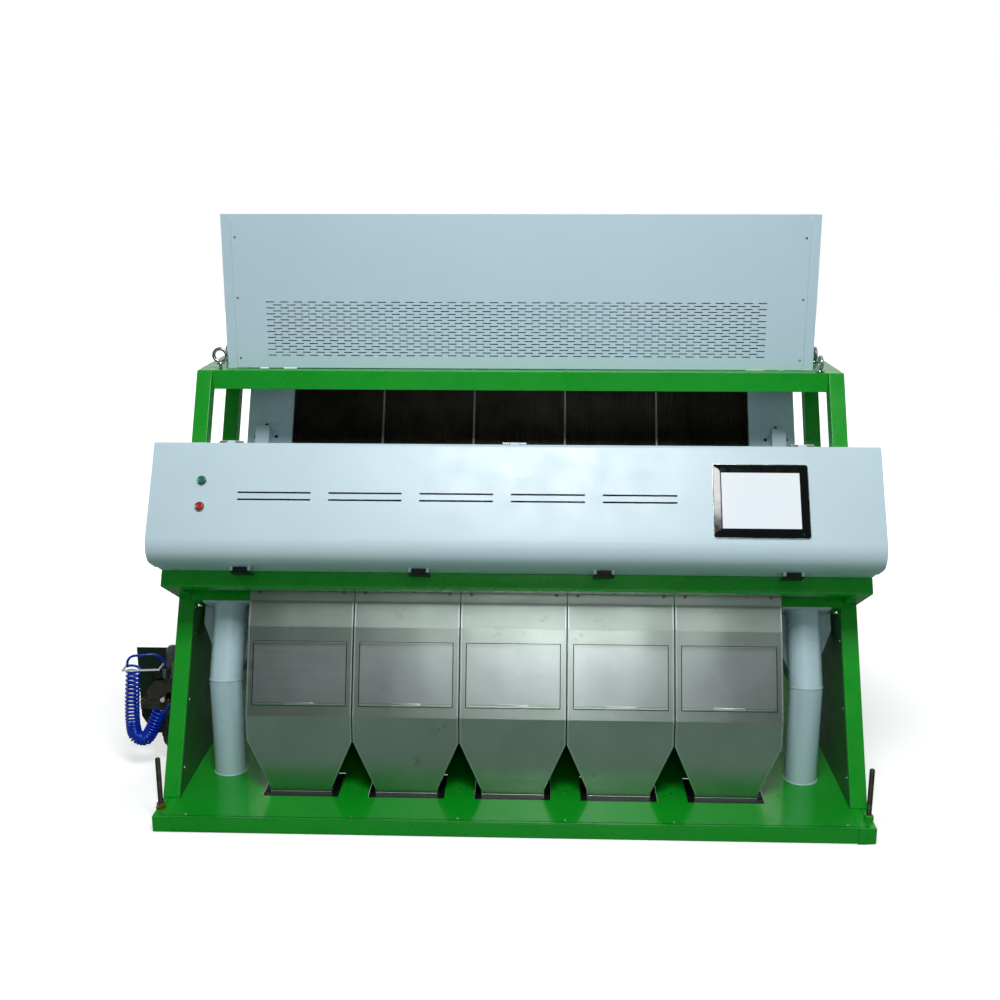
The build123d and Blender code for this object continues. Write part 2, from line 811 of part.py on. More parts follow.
def front_cover():
    def skin(offset, reach, back):
        top, low = housing_top_u - offset, beam_top_u + offset
        corners = [(split_top_n - cover_split_gap + back, top), (face_n(top) + offset, top),
                   (face_n(low) + offset, low), (split_low_n - cover_split_gap + back, low)]
        points = [(-reach, *lean_point(n, u)) for n, u in corners]
        radii = (cover_top_r - offset, cover_low_r - offset)
        front = FilletPolyline(*points, radius=radii)
        outline = make_face([front, Line(points[-1], points[0])])
        return extrude(outline, amount=2 * reach, dir=(1, 0, 0))
    body = skin(0, cover_half, 0) - skin(sheet, cover_half - sheet, 60)
    for i in range(slot_pairs):
        x = slot_first_x + i * slot_pitch + slot_len / 2
        for u in slot_u:
            body -= face_plane(x, u, -3 * sheet) * extrude(Rectangle(slot_len, slot_h), 6 * sheet)
    opening = Rectangle(panel_body_w, panel_body_h)
    middle = (panel_low_u + panel_high_u) / 2
    body -= face_plane(panel_x, middle, -3 * sheet) * extrude(opening, 6 * sheet)
    for u in (start_u, stop_u):
        hole = extrude(RegularPolygon(button_stem_r + 2 * running_gap, 8), 6 * sheet)
        body -= face_plane(button_x, u, -3 * sheet) * hole
    n, u = hinge_axis()
    y, z = lean_point(n, u)
    third = hinge_len / 3
    for x in (-hinge_x, 0, hinge_x):
        knuckle = faceted_x(x - third / 2, x + third / 2, y, z, hinge_r)
        knuckle += lean_block(x - third / 2, x + third / 2, n - 3 * hinge_r, n,
                              housing_top_u, housing_top_u + sheet)
        knuckle -= rod_x(x - third, x + third, y, z, hinge_pin_r + pin_clear)
        body += knuckle
    for x in latch_x:
        low = beam_top_u
        pin_n, pin_u = latch_axis()
        y, z = lean_point(pin_n, pin_u)
        for side in (-1, 1):
            x0 = x + side * (latch_w / 2 - latch_lug)
            x1 = x0 + side * (latch_lug - running_gap)
            ends = sorted((x0, x1))
            body += lean_block(*ends, pin_n - 5, pin_n + 5, pin_u - 5, low)
        body += rod_x(x - latch_w / 2 + 1, x + latch_w / 2 - 1, y, z, latch_pin_r)
    node("front_cover", body)


def latch_axis():
    """Point (n, u) of the latch pins, under the lower edge of the cover."""
    return split_low_n - latch_len / 2, beam_top_u - latch_t / 2


def cover_latches():
    n, u = latch_axis()
    y, z = lean_point(n, u)
    reach = latch_w / 2 - latch_lug - running_gap
    for i, x in enumerate(latch_x):
        body = lean_block(x - reach, x + reach, n - latch_t / 4, n + latch_len, u - latch_t / 2,
                          u + latch_t / 2 - 1.5)
        body += lean_block(x - latch_w / 2, x + latch_w / 2, n + 8, n + latch_len,
                           u - latch_t / 2 - 4, u - latch_t / 2 + 2)
        body -= rod_x(x - latch_w, x + latch_w, y, z, latch_pin_r + pin_clear)
        node(f"cover_latch_{i + 1}", body)


def touch_panel():
    middle = (panel_low_u + panel_high_u) / 2
    height = panel_high_u - panel_low_u
    bezel = extrude(RectangleRounded(panel_w, height, 8), panel_t)
    body = face_plane(panel_x, middle) * bezel
    back = Rectangle(panel_body_w - 2 * seam_gap, panel_body_h - 2 * seam_gap)
    body += face_plane(panel_x, middle, -panel_body_t) * extrude(back, panel_body_t)
    seat = extrude(Rectangle(screen_w, screen_h), screen_t)
    centre = panel_low_u + screen_lift + screen_h / 2
    body -= face_plane(panel_x, centre, panel_t - screen_t) * seat
    node("touch_panel", body)
    node("touch_screen", face_plane(panel_x, centre, panel_t - screen_t) * seat)


def buttons():
    collars = []
    for name, u in (("start_button", start_u), ("stop_button", stop_u)):
        ring = RegularPolygon(button_collar_r, 16)
        ring -= RegularPolygon(button_cap_r + 2 * running_gap, 16)
        collars.append(face_plane(button_x, u) * extrude(ring, button_collar_h))
        rest = button_travel + running_gap
        disc = RegularPolygon(button_cap_r, 16)
        cap = face_plane(button_x, u, rest) * extrude(disc, button_cap_h)
        stem = extrude(RegularPolygon(button_stem_r, 8), button_stem_len + rest)
        node(name, cap + face_plane(button_x, u, -button_stem_len) * stem)
    node("button_collars", *collars)


def door_frame_point(t, out=0.0):
    """(Y, Z) on the door face, t above the knee and out in front of the steel."""
    y1, z1 = lean_point(hopper_front_n, hopper_bend_u)
    y0, z0 = place(hopper_front_d), hopper_knee_z
    length = hypot(y1 - y0, z1 - z0)
    a, b = (y1 - y0) / length, (z1 - z0) / length
    return y0 + a * t - b * out, z0 + b * t + a * out


def door_block(x0, x1, t0, t1, out0, out1):
    """Box that lies on the door face."""
    corners = ((t0, out0), (t1, out0), (t1, out1), (t0, out1))
    return prism([door_frame_point(t, out) for t, out in corners], x0, x1)


def hopper_outline():
    """Side profile of a discharge hopper, from the spout's front edge upwards."""
    return [(place(hopper_front_d), spout_low_z), (place(hopper_front_d), hopper_knee_z),
            lean_point(hopper_front_n, hopper_bend_u), lean_point(hopper_front_n, hopper_top_u),
            (place(lean_d(hopper_front_n, hopper_rim_z) + 120), hopper_rim_z),
            (place(hopper_rear_d), hopper_rim_z), (place(hopper_rear_d), hopper_rear_z),
            (place(spout_rear_d), spout_top_z), (place(spout_rear_d), spout_low_z)]


def hopper_knuckles(x, own):
    """Every second knuckle of the door hinge."""
    axis_t = door_rise - knuckle_r - seam_gap
    out = knuckle_r + running_gap
    y, z = door_frame_point(axis_t, out)
    pitch = (door_w - 2 * door_gap) / knuckle_count
    wall_t = door_rise - door_gap
    bars = []
    for i in range(knuckle_count):
        if (i % 2 == 0) == own:
            x0 = x - door_w / 2 + door_gap + i * pitch + running_gap
            x1 = x0 + pitch - 2 * running_gap
            bar = faceted_x(x0, x1, y, z, knuckle_r)
            if own:
                bar += door_block(x0, x1, axis_t - 2, wall_t, -seam_gap, out)
            else:
                bar += door_block(x0, x1, wall_t + running_gap, door_rise + 2,
                                  -sheet + running_gap, out - seam_gap)
            bars.append(bar)
    return bars, (y, z)


def discharge_hoppers():
    line = hopper_outline()
    gaps = [sheet, sheet, sheet, -sheet, -sheet, sheet, sheet, sheet, -sheet]
    cuts = {}
    for i, x in enumerate(unit_x):
        half = (unit_pitch - unit_gap) / 2
        outer = prism(line, x - half, x + half)
        hollow = prism(inset(line, gaps), x - half + sheet, x + half - sheet)

        def wedge(side, offset):
            edge = x + side * (half - offset)
            tip = x + side * (spout_w / 2 - offset)
            far = x + side * (half + 20)
            points = [(edge, hopper_taper_z), (tip, spout_top_z), (tip, spout_low_z - 10),
                      (far, spout_low_z - 10), (far, hopper_taper_z)]
            y0 = place(hopper_front_d) - 20
            outline = Polyline([(a, y0, b) for a, b in points], close=True)
            return extrude(make_face(outline), amount=hopper_rear_d, dir=(0, 1, 0))
        for side in (-1, 1):
            outer -= wedge(side, 0)
            hollow -= wedge(side, sheet)
        body = outer - hollow
        low, high = door_rise, door_rise + door_h
        body -= door_block(x - door_w / 2, x + door_w / 2, low - door_gap, high, -2 * sheet,
                           sheet)
        stop = door_block(x - door_w / 2 - stop_lap, x + door_w / 2 + stop_lap, low - door_gap
                          - stop_lap, high + stop_lap, -2 * sheet, -sheet)
        stop -= door_block(x - window_w / 2, x + window_w / 2, low + sill_rise / 4,
                           high - sill_rise / 4, -3 * sheet, 0)
        body += stop
        bars, (y, z) = hopper_knuckles(x, True)
        for bar in bars:
            body += bar
        slot_u0 = hopper_top_u - chute_tube - running_gap
        body -= lean_block(x - half, x + half, hopper_front_n + sheet,
                           hopper_front_n + sheet + hanger_t + running_gap, slot_u0,
                           hopper_top_u)
        first = x - door_w / 2 + door_gap
        last = x + door_w / 2 - door_gap
        body += rod_x(first + running_gap, last - running_gap, y, z, knuckle_pin_r)
        node(f"discharge_hopper_{i + 1}", body)


def sample_doors():
    low, high = door_rise, door_rise + door_h
    for i, x in enumerate(unit_x):
        reach = door_w / 2 - seam_gap
        leaf = door_block(x - reach, x + reach, low + seam_gap, high - seam_gap,
                          -sheet + running_gap, running_gap)
        leaf += door_block(x - reach, x + reach, high - seam_gap - sheet, high - seam_gap,
                           running_gap, door_lip)
        bars, (y, z) = hopper_knuckles(x, False)
        for bar in bars:
            leaf += bar
        leaf -= rod_x(x - door_w, x + door_w, y, z, knuckle_pin_r + pin_clear)
        node(f"sample_door_{i + 1}", leaf)


def reject_trough():
    line = [(place(reject_front_d), spout_low_z), (place(reject_front_d), reject_top_z),
            (place(reject_rear_d), reject_rear_z), (place(reject_neck_d), reject_neck_z),
            (place(reject_neck_d), spout_low_z)]
    gaps = [sheet, -sheet, sheet, sheet, -sheet]
    body = shell_prism(line, -units_half, units_half, gaps)
    body += block(-units_half, units_half, reject_front_d - reject_foot, reject_front_d, tube,
                  tube + sheet)
    body += block(-units_half, units_half, reject_neck_d, reject_neck_d + reject_foot, tube,
                  tube + sheet)
    node("reject_trough", body)


def pipe_axis_bar(x, u0, u1, radius):
    """Round bar along the leaning part of a dust pipe."""
    n = pipe_axis_n()
    y, z = lean_point(n, u0)
    seat = Plane(origin=(x, y, z), x_dir=(1, 0, 0), z_dir=(0, sin_lean, cos_lean))
    return seat * extrude(Circle(radius), u1 - u0)


def pipe_axis_n():
    return pipe_d * cos_lean - pipe_bend_z * sin_lean


def dust_pipes():
    bend_u = pipe_d * sin_lean + pipe_bend_z * cos_lean
    top_u = plenum_u
    n = pipe_axis_n()

    def pipe():
        def solid(radius, low, high):
            path = Polyline([(pipe_x, place(pipe_d), low), (pipe_x, place(pipe_d), pipe_bend_z),
                             (pipe_x, *lean_point(n, high))])
            start = Plane(origin=(pipe_x, place(pipe_d), low), z_dir=(0, 0, 1))
            return sweep(start * Circle(radius), path=path, transition=Transition.RIGHT)
        body = solid(pipe_r, tube, top_u - flange_t / 2)
        body += lean_block(pipe_x - flange_half, pipe_x + flange_half, n - flange_depth,
                           n + flange_depth, top_u - flange_t, top_u)
        return body - solid(pipe_r - pipe_wall, tube - 1, top_u + 1)
    assert bend_u < top_u
    node("dust_pipes", *sides(pipe))


def side_funnels():
    back = plenum_n + plenum_depth

    def funnel():
        def shape(gap, extra):
            top = lean_block(funnel_in + gap, funnel_out - gap, back + gap,
                             back + funnel_depth - gap, funnel_low_u, plenum_u + tube + extra)
            y, z = lean_point(back + funnel_depth / 2, funnel_low_u)
            wide = Plane(origin=((funnel_in + funnel_out) / 2, y, z), x_dir=(1, 0, 0),
                         z_dir=(0, sin_lean, cos_lean))
            y, z = lean_point(back + funnel_depth / 2, funnel_tip_u - extra)
            small = Plane(origin=((funnel_tip_in + funnel_tip_out) / 2, y, z), x_dir=(1, 0, 0),
                          z_dir=(0, sin_lean, cos_lean))
            tip = funnel_tip_out - funnel_tip_in - 2 * gap
            return top + loft([wide * Rectangle(funnel_out - funnel_in - 2 * gap,
                                                funnel_depth - 2 * gap),
                               small * Rectangle(tip, tip)], ruled=True)
        return shape(0, 0) - shape(sheet, 1)
    node("side_funnels", *sides(funnel))


def cabinet():
    low, high = cabinet_low_z, cabinet_high_z
    rear = base_depth - tube
    body = block(-cabinet_half, cabinet_half, cabinet_front_d, rear, low, high)
    body -= block(-cabinet_half + sheet, cabinet_half - sheet, cabinet_front_d + sheet,
                  rear + sheet, low + sheet, high - sheet)
    rim = block(-cabinet_half, cabinet_half, rear - sheet, rear, low, high)
    edge = 2 * door_margin
    rim -= block(-cabinet_half + edge, cabinet_half - edge, 0, base_depth, low + edge,
                 high - edge)
    body += rim
    door_low = cabinet_rail_z + tube + 2 * seam_gap
    door_high = frame_height - tube - 2 * seam_gap
    door_d = rear + seam_gap / 2
    reach = cabinet_half - door_margin
    door = block(-reach, reach, door_d, door_d + door_pan, door_low, door_high)
    door -= block(-reach + sheet, reach - sheet, door_d - 1, door_d + door_pan - sheet,
                  door_low + sheet, door_high - sheet)
    axis_x = -reach - cabinet_hinge_r - seam_gap
    axis_y = place(door_d + cabinet_hinge_r)
    for z in (door_low + cabinet_knuckle, door_high - 2 * cabinet_knuckle):
        top = z + cabinet_knuckle
        middle = (z + top) / 2
        body += faceted_z(axis_x, axis_y, z, middle - running_gap, cabinet_hinge_r)
        body += rod_z(axis_x, axis_y, z, top, cabinet_pin_r)
        body += block(axis_x - cabinet_hinge_r, axis_x, rear - sheet, door_d + cabinet_hinge_r, z,
                      middle - running_gap)
        knuckle = faceted_z(axis_x, axis_y, middle, top, cabinet_hinge_r)
        knuckle += block(axis_x, -reach + sheet, door_d + cabinet_hinge_r - sheet,
                         door_d + cabinet_hinge_r, middle, top)
        door += knuckle - rod_z(axis_x, axis_y, z, top, cabinet_pin_r + pin_clear)
    node("control_cabinet", body)
    node("cabinet_door", door)


def air_unit():
    back = air_plate_d
    out = -half_width - air_plate_out
    plate = block(out, -half_width, back, back + air_plate_t, air_plate_low, air_plate_high)
    plate += block(-half_width - air_plate_t, -half_width, back, back + air_foot_len,
                   air_plate_low + 2 * tube, air_plate_high)
    node("air_bracket", plate)
    near = back - air_body_t
    half = regulator_w / 2
    body = block(regulator_x - half, regulator_x + half, near, back, regulator_z,
                 regulator_z + regulator_h)
    body += block(regulator_x - half - 6, regulator_x + half, near, back, regulator_z - filter_h,
                  regulator_z)
    neck_y = place(near + air_body_t / 2)
    bowl_top = faceted_z(bowl_x, neck_y, bowl_high_z, regulator_z - filter_h, bowl_r, 12)
    valve = block(bowl_x - 79, bowl_x + bowl_r, near + 6, back, bowl_high_z, bowl_high_z + 32)
    sensor = block(bowl_x - 56, bowl_x - 9, near + 4, back, bowl_high_z + 34, regulator_z - 4)
    node("air_filter", body, bowl_top - valve, valve, sensor)
    bowl = loft([Plane((bowl_x, neck_y, bowl_low_z)) * RegularPolygon(bowl_r - 6, 12),
                 Plane((bowl_x, neck_y, bowl_high_z)) * RegularPolygon(bowl_r, 12)], ruled=True)
    bowl += faceted_z(bowl_x, neck_y, bowl_low_z - 30, bowl_low_z, 7)
    node("filter_bowl", bowl)
    knob_z = regulator_z + regulator_h + 3
    stem = rod_z(regulator_x, neck_y, regulator_z + regulator_h, knob_z + 10, knob_stem_r)
    knob = faceted_z(regulator_x, neck_y, knob_z, knob_z + knob_h, knob_r, 12)
    knob -= rod_z(regulator_x, neck_y, knob_z, knob_z + 10 + running_gap, knob_stem_r + pin_clear)
    node("regulator_knob", knob)
    in_x, out_x = regulator_x + half - 14, regulator_x - half + 12
    y = place(near) - port_r - 2
    ports = []
    for x, z in ((out_x, regulator_z + 6), (in_x, regulator_z - filter_h + 14)):
        port = faceted_z(x, y, z, z + 34, port_r)
        ports.append(port + block(x - 5, x + 5, near - 9, near, z + 8, z + 26))
    node("hose_ports", stem, *ports)
    return (out_x, y, regulator_z + 40), (in_x, y, regulator_z - filter_h + 14)


def hose_route():
    """Centre line of the coiled air hose, as points in (X, Z) on one plane."""
    return [(-1209.0, 352.0), (-1222.0, 250.0), (-1227.0, 124.0), (-1202.9, 104.5),
            (-1172.8, 112.0), (-1134.2, 204.0)]


def corner_radii(points):
    """Arc radius at each corner of a route, as large as its two runs allow."""
    radii = []
    for a, b, c in zip(points, points[1:], points[2:]):
        first, second = Vector(b) - Vector(a), Vector(c) - Vector(b)
        turn = radians(first.get_angle(second))
        radii.append(0.45 * min(first.length, second.length) / tan(turn / 2))
    return radii


def cord_tube(points, radius, count):
    """Tube with flat sides, along straight runs joined by tangent arcs."""
    radii = corner_radii(points)
    print("radii", [round(r) for r in radii])
    path = FilletPolyline(*points, radius=radii)
    start = Plane(origin=path @ 0, z_dir=path % 0)
    outline = RegularPolygon(radius, count)
    tube_solid = sweep(start * outline, path=path)
    ideal = outline.area * path.length
    print("tube volume over section times length", round(tube_solid.volume / ideal, 4))
    return tube_solid


def air_hose(outlet, inlet):
    y = place(hose_d)
    route = [(x, y, z) for x, z in hose_route()]
    node("hose_coil", cord_tube(route, coil_r, 12))
    mean = coil_r - hose_r
    top, end = route[0], route[-1]
    x, rise, z = outlet
    upper = [outlet, (x, rise, z + 24), (x - 29, rise - 10, z + 45), (-1180, y + 2, 391),
             (-1207, y, 391), (-1220, y, 383.5), (-1228, y, 370.5),
             (top[0] - mean * 0.99, y, top[2] + 3.5)]
    x, rise, z = inlet
    first = (end[0] + mean * 0.92 + 0.4, y, end[2] - mean * 0.386 + 1)
    lower = [first, (first[0] + 8, y + 2, first[2] + 18), (-1096, y + 13, 230),
             (x, rise, z - 18), inlet]
    node("hose_leads", cord_tube(upper, hose_r, 6), cord_tube(lower, hose_r, 6))
    band = block(band_from_x, band_to_x, hose_d - coil_r - 2, hose_d - coil_r - 0.5, band_z,
                 band_z + band_w)
    node("hose_band", band)


def build():
    base_frame()
    deck_plate()
    posts()
    top_frame()
    front_beam()
    cross_beams()
    side_panels()
    lifting_eyes()
    levelling_screws()
    feed_box()
    vent_panel()
    feed_bins()
    feeder_trays()
    feeder_drives()
    chutes()
    chute_frame()
    cover_arms()
    front_optics()
    rear_optics()
    optics_windows()
    cameras()
    ejector_bar()
    cover_hinges()
    front_cover()
    cover_latches()
    touch_panel()
    buttons()
    discharge_hoppers()
    sample_doors()
    reject_trough()
    dust_pipes()
    side_funnels()
    cabinet()
    air_hose(*air_unit())
    os.makedirs("parts", exist_ok=True)
    for name, shape in parts.items():
        export_step(shape, f"parts/{name}.step")


build()
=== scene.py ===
import bpy
import bmesh
import json
from math import atan2, cos, hypot, pi, radians, sin, tan
from mathutils import Matrix, Vector

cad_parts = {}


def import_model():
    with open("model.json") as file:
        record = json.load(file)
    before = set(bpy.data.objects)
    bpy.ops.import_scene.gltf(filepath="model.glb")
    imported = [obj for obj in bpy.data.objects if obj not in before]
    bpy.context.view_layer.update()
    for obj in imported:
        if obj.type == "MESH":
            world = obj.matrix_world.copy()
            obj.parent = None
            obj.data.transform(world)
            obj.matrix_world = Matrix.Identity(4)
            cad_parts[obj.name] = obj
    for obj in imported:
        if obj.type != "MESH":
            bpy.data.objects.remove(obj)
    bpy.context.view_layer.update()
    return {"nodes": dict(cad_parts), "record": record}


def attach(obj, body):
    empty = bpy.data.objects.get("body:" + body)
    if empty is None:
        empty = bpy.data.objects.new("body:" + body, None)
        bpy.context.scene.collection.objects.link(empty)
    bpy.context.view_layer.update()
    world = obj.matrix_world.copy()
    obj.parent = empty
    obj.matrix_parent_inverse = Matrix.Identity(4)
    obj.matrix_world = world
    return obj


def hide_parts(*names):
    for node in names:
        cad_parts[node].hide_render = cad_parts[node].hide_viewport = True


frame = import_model()
nodes = frame["nodes"]

# Body of each CAD node
body_of = {}
for body, names in frame["record"]["behaviour"]["bodies"].items():
    for name in names:
        body_of[name] = body

# The frame's lean and the numbers that the drawn details share with it, in metres
LEAN = radians(28.4)
CL, SL = cos(LEAN), sin(LEAN)
DEPTH = 1.65
UNIT_X = [0.32 * (i - 2) for i in range(5)]


def yy(d):
    return d - DEPTH / 2


def lp(n, u, x=0.0):
    """Point n behind the lean line and u along it."""
    return Vector((x, yy(n * CL + u * SL), u * CL - n * SL))


# Materials
def linear(r, g, b):
    out = []
    for c in (r, g, b):
        c /= 255
        out.append(c / 12.92 if c <= 0.04045 else ((c + 0.055) / 1.055) ** 2.4)
    return out


class Shader:
    """A node tree with one Principled shader, and short ways to wire it."""

    def __init__(self, name):
        self.mat = bpy.data.materials.new(name)
        self.mat.use_nodes = True
        self.tree = self.mat.node_tree
        self.bsdf = self.tree.nodes["Principled BSDF"]
        self.coord = self.tree.nodes.new("ShaderNodeTexCoord")

    def new(self, kind, **values):
        node = self.tree.nodes.new("ShaderNode" + kind)
        for key, value in values.items():
            setattr(node, key, value)
        return node

    def link(self, a, b):
        self.tree.links.new(a, b)

    def mapped(self, scale):
        node = self.new("Mapping")
        node.inputs["Scale"].default_value = scale
        self.link(self.coord.outputs["Object"], node.inputs["Vector"])
        return node.outputs["Vector"]

    def noise(self, scale, stretch=(1, 1, 1), detail=3.0, rough=0.55):
        node = self.new("TexNoise")
        node.inputs["Scale"].default_value = scale
        node.inputs["Detail"].default_value = detail
        node.inputs["Roughness"].default_value = rough
        self.link(self.mapped(stretch), node.inputs["Vector"])
        return node.outputs["Fac"]

    def ramp(self, value, low, high, a=0.3, b=0.7):
        node = self.new("MapRange")
        node.inputs["From Min"].default_value = a
        node.inputs["From Max"].default_value = b
        node.inputs["To Min"].default_value = low
        node.inputs["To Max"].default_value = high
        self.link(value, node.inputs["Value"])
        return node.outputs["Result"]

    def mix(self, value, first, second):
        node = self.new("Mix", data_type="RGBA")
        for socket, colour in ((node.inputs[6], first), (node.inputs[7], second)):
            if isinstance(colour, (list, tuple)):
                socket.default_value = (*colour, 1)
            else:
                self.link(colour, socket)
        self.link(value, node.inputs[0])
        return node.outputs[2]

    def bump(self, value, strength, distance):
        node = self.new("Bump")
        node.inputs["Strength"].default_value = strength
        node.inputs["Distance"].default_value = distance
        self.link(value, node.inputs["Height"])
        self.link(node.outputs["Normal"], self.bsdf.inputs["Normal"])

    def set(self, **values):
        for key, value in values.items():
            socket = self.bsdf.inputs[key.replace("_", " ")]
            if isinstance(value, (int, float)):
                socket.default_value = value
            elif isinstance(value, (list, tuple)):
                socket.default_value = (*value, 1)
            else:
                self.link(value, socket)
        return self


def paint(name, colour, rough=0.3, coat=0.25, vary=0.05, peel=0.06):
    s = Shader(name)
    base = linear(*colour)
    dark = [c * (1 - vary) for c in base]
    light = [min(1, c * (1 + vary) + 0.004) for c in base]
    s.set(Base_Color=s.mix(s.ramp(s.noise(3.5), 0, 1), dark, light),
          Roughness=s.ramp(s.noise(14, detail=5), rough - 0.05, rough + 0.07))
    s.bsdf.inputs["Coat Weight"].default_value = coat
    s.bsdf.inputs["Coat Roughness"].default_value = 0.08
    s.bump(s.noise(260, detail=2), peel, 0.001)
    return s.mat


def metal(name, colour, rough=0.32, stretch=(1, 1, 1), grain=90.0, vary=0.18, strength=0.05,
          cloud=4.0):
    s = Shader(name)
    base = linear(*colour)
    dark = [c * (1 - vary) for c in base]
    light = [min(1, c * (1 + vary * 0.6)) for c in base]
    s.set(Base_Color=s.mix(s.ramp(s.noise(cloud, detail=6, rough=0.65), 0, 1), dark, light),
          Metallic=1.0,
          Roughness=s.ramp(s.noise(grain, stretch, detail=4), rough - 0.08, rough + 0.1))
    s.bump(s.noise(grain * 2, stretch, detail=3), strength, 0.0006)
    return s.mat


def plastic(name, colour, rough=0.4, vary=0.06, strength=0.05, grain=300.0):
    s = Shader(name)
    base = linear(*colour)
    s.set(Base_Color=s.mix(s.ramp(s.noise(20), 0, 1), [c * (1 - vary) for c in base],
                           [min(1, c * (1 + vary) + 0.002) for c in base]),
          Roughness=s.ramp(s.noise(60), rough - 0.05, rough + 0.06))
    s.bump(s.noise(grain), strength, 0.0005)
    return s.mat


GREEN = paint("green_paint", (14, 163, 34), rough=0.27, coat=0.0, peel=0.015)
# Darker copy of the green paint for the side panels: painted shade of the machine's inside
GREEN_SHADED = paint("shaded_green_paint", (4, 96, 16), rough=0.5, coat=0.0, peel=0.01)
# Very dark green for the air bracket: painted shade, since the bracket stands in shadow behind the
# coil
BRACKET_SHADE = paint("bracket_painted_shade", (16, 44, 20), rough=0.5, coat=0.0)
DECK = paint("green_deck", (12, 158, 32), rough=0.20, coat=0.1, peel=0.01)
WHITE = paint("pale_paint", (204, 227, 236), rough=0.33, coat=0.0, vary=0.012, peel=0.03)
PALE = paint("pale_coat", (192, 220, 228), rough=0.28, coat=0.1, vary=0.02, peel=0.03)
BOX = paint("box_paint", (198, 222, 233), rough=0.42, coat=0.0, vary=0.012, peel=0.05)


def sheet_steel(name, colour, rough, smudge_and_reflection):
    """Brushed sheet with a fine level grain, cloudy lighter and darker patches, and greenish
    patches that are partly smudges and partly a painted green reflection of the deck.
    """
    s = Shader(name)
    base = linear(*colour)
    cloud = s.mix(s.ramp(s.noise(3.2, detail=5, rough=0.6), 0, 1), [c * 0.84 for c in base],
                  [min(1, c * 1.10) for c in base])
    grain = s.mix(s.ramp(s.noise(520, (0.012, 1, 1), detail=2), 0, 1), [0.975, 0.975, 0.975],
                  [1.0, 1.0, 1.0])
    both = s.new("Mix", data_type="RGBA", blend_type="MULTIPLY")
    both.inputs[0].default_value = 1.0
    s.link(cloud, both.inputs[6])
    s.link(grain, both.inputs[7])
    # Greenish patches: partly smudges, partly a painted green reflection of the deck
    mask = s.ramp(s.noise(11, detail=6, rough=0.7), 0, smudge_and_reflection, 0.62, 0.72)
    s.set(Base_Color=s.mix(mask, both.outputs[2], linear(74, 96, 82)), Metallic=1.0,
          Roughness=s.ramp(s.noise(300, (0.02, 1, 1), detail=3), rough - 0.02, rough + 0.02))
    s.bump(s.noise(4.5, (1, 0.6, 0.6), detail=1.5, rough=0.4), 0.35, 0.012)
    return s.mat


STEEL = sheet_steel("brushed_steel", (174, 188, 181), 0.30, 0.45)
DOOR = sheet_steel("door_steel", (190, 200, 199), 0.31, 0.15)
# Lighter copy of the sheet steel for the hopper strips and seams: a painted highlight along their
# edges
BRIGHT_STEEL = sheet_steel("steel_painted_highlight", (206, 214, 213), 0.36, 0.1)
ZINC = metal("zinc", (190, 196, 198), rough=0.22, grain=40, vary=0.08)
BRASS = metal("brass", (196, 160, 84), rough=0.3, grain=60, vary=0.12)
ALU = metal("cast_aluminium", (150, 152, 150), rough=0.45, grain=220, vary=0.12, strength=0.2)
CHUTE = metal("chute_anodised", (66, 62, 54), rough=0.38, stretch=(1, 0.05, 0.05), grain=200,
              vary=0.35, cloud=9)
BLACK = plastic("black_plastic", (17, 18, 20), rough=0.42)
GREY = plastic("grey_plastic", (92, 98, 106), rough=0.5, strength=0.12)
DARK = plastic("dark_housing", (40, 41, 38), rough=0.5, strength=0.15)
BLUE = plastic("blue_hose", (0, 52, 196), rough=0.18, vary=0.12)
TIE = plastic("white_band", (228, 234, 235), rough=0.45)
GREEN_CAP = plastic("green_cap", (14, 120, 88), rough=0.25)
RED_CAP = plastic("red_cap", (178, 40, 36), rough=0.25)
BEZEL = plastic("bezel", (9, 10, 13), rough=0.09, strength=0.01)


def screen_material():
    s = Shader("screen")
    glow = s.mix(s.ramp(s.noise(2.0, detail=1), 0, 1), [0.80, 0.88, 0.93], [0.86, 0.92, 0.96])
    s.set(Base_Color=[0.02, 0.02, 0.025], Roughness=0.12)
    s.link(glow, s.bsdf.inputs["Emission Color"])
    s.bsdf.inputs["Emission Strength"].default_value = 0.95
    return s.mat


def rod_material(name, spots):
    """Blackened thread, with green overspray in patches."""
    s = Shader(name)
    base = s.mix(s.ramp(s.noise(40), 0, 1), linear(24, 20, 18), linear(66, 52, 42))
    mask = s.ramp(s.noise(26, detail=4), 0, spots, 0.5, 0.62)
    s.set(Base_Color=s.mix(mask, base, linear(24, 120, 36)), Metallic=0.35, Roughness=0.5)
    s.bump(s.noise(300), 0.15, 0.001)
    return s.mat


def bowl_material():
    s = Shader("bowl")
    s.set(Base_Color=s.mix(s.ramp(s.noise(30), 0, 1), linear(54, 56, 50), linear(84, 86, 78)),
          Roughness=s.ramp(s.noise(50), 0.2, 0.35))
    s.bump(s.noise(90), 0.1, 0.001)
    return s.mat


def glass_material():
    s = Shader("window_glass")
    s.set(Base_Color=s.mix(s.ramp(s.noise(3), 0, 1), [0.80, 0.88, 0.86], [0.86, 0.93, 0.91]),
          Roughness=0.04)
    s.bsdf.inputs["Transmission Weight"].default_value = 0.9
    s.bump(s.noise(6), 0.02, 0.001)
    return s.mat


SCREEN = screen_material()
ROD_LEFT = rod_material("rod_left", 0.25)
ROD_RIGHT = rod_material("rod_right", 0.9)
BOWL = bowl_material()
GLASS = glass_material()


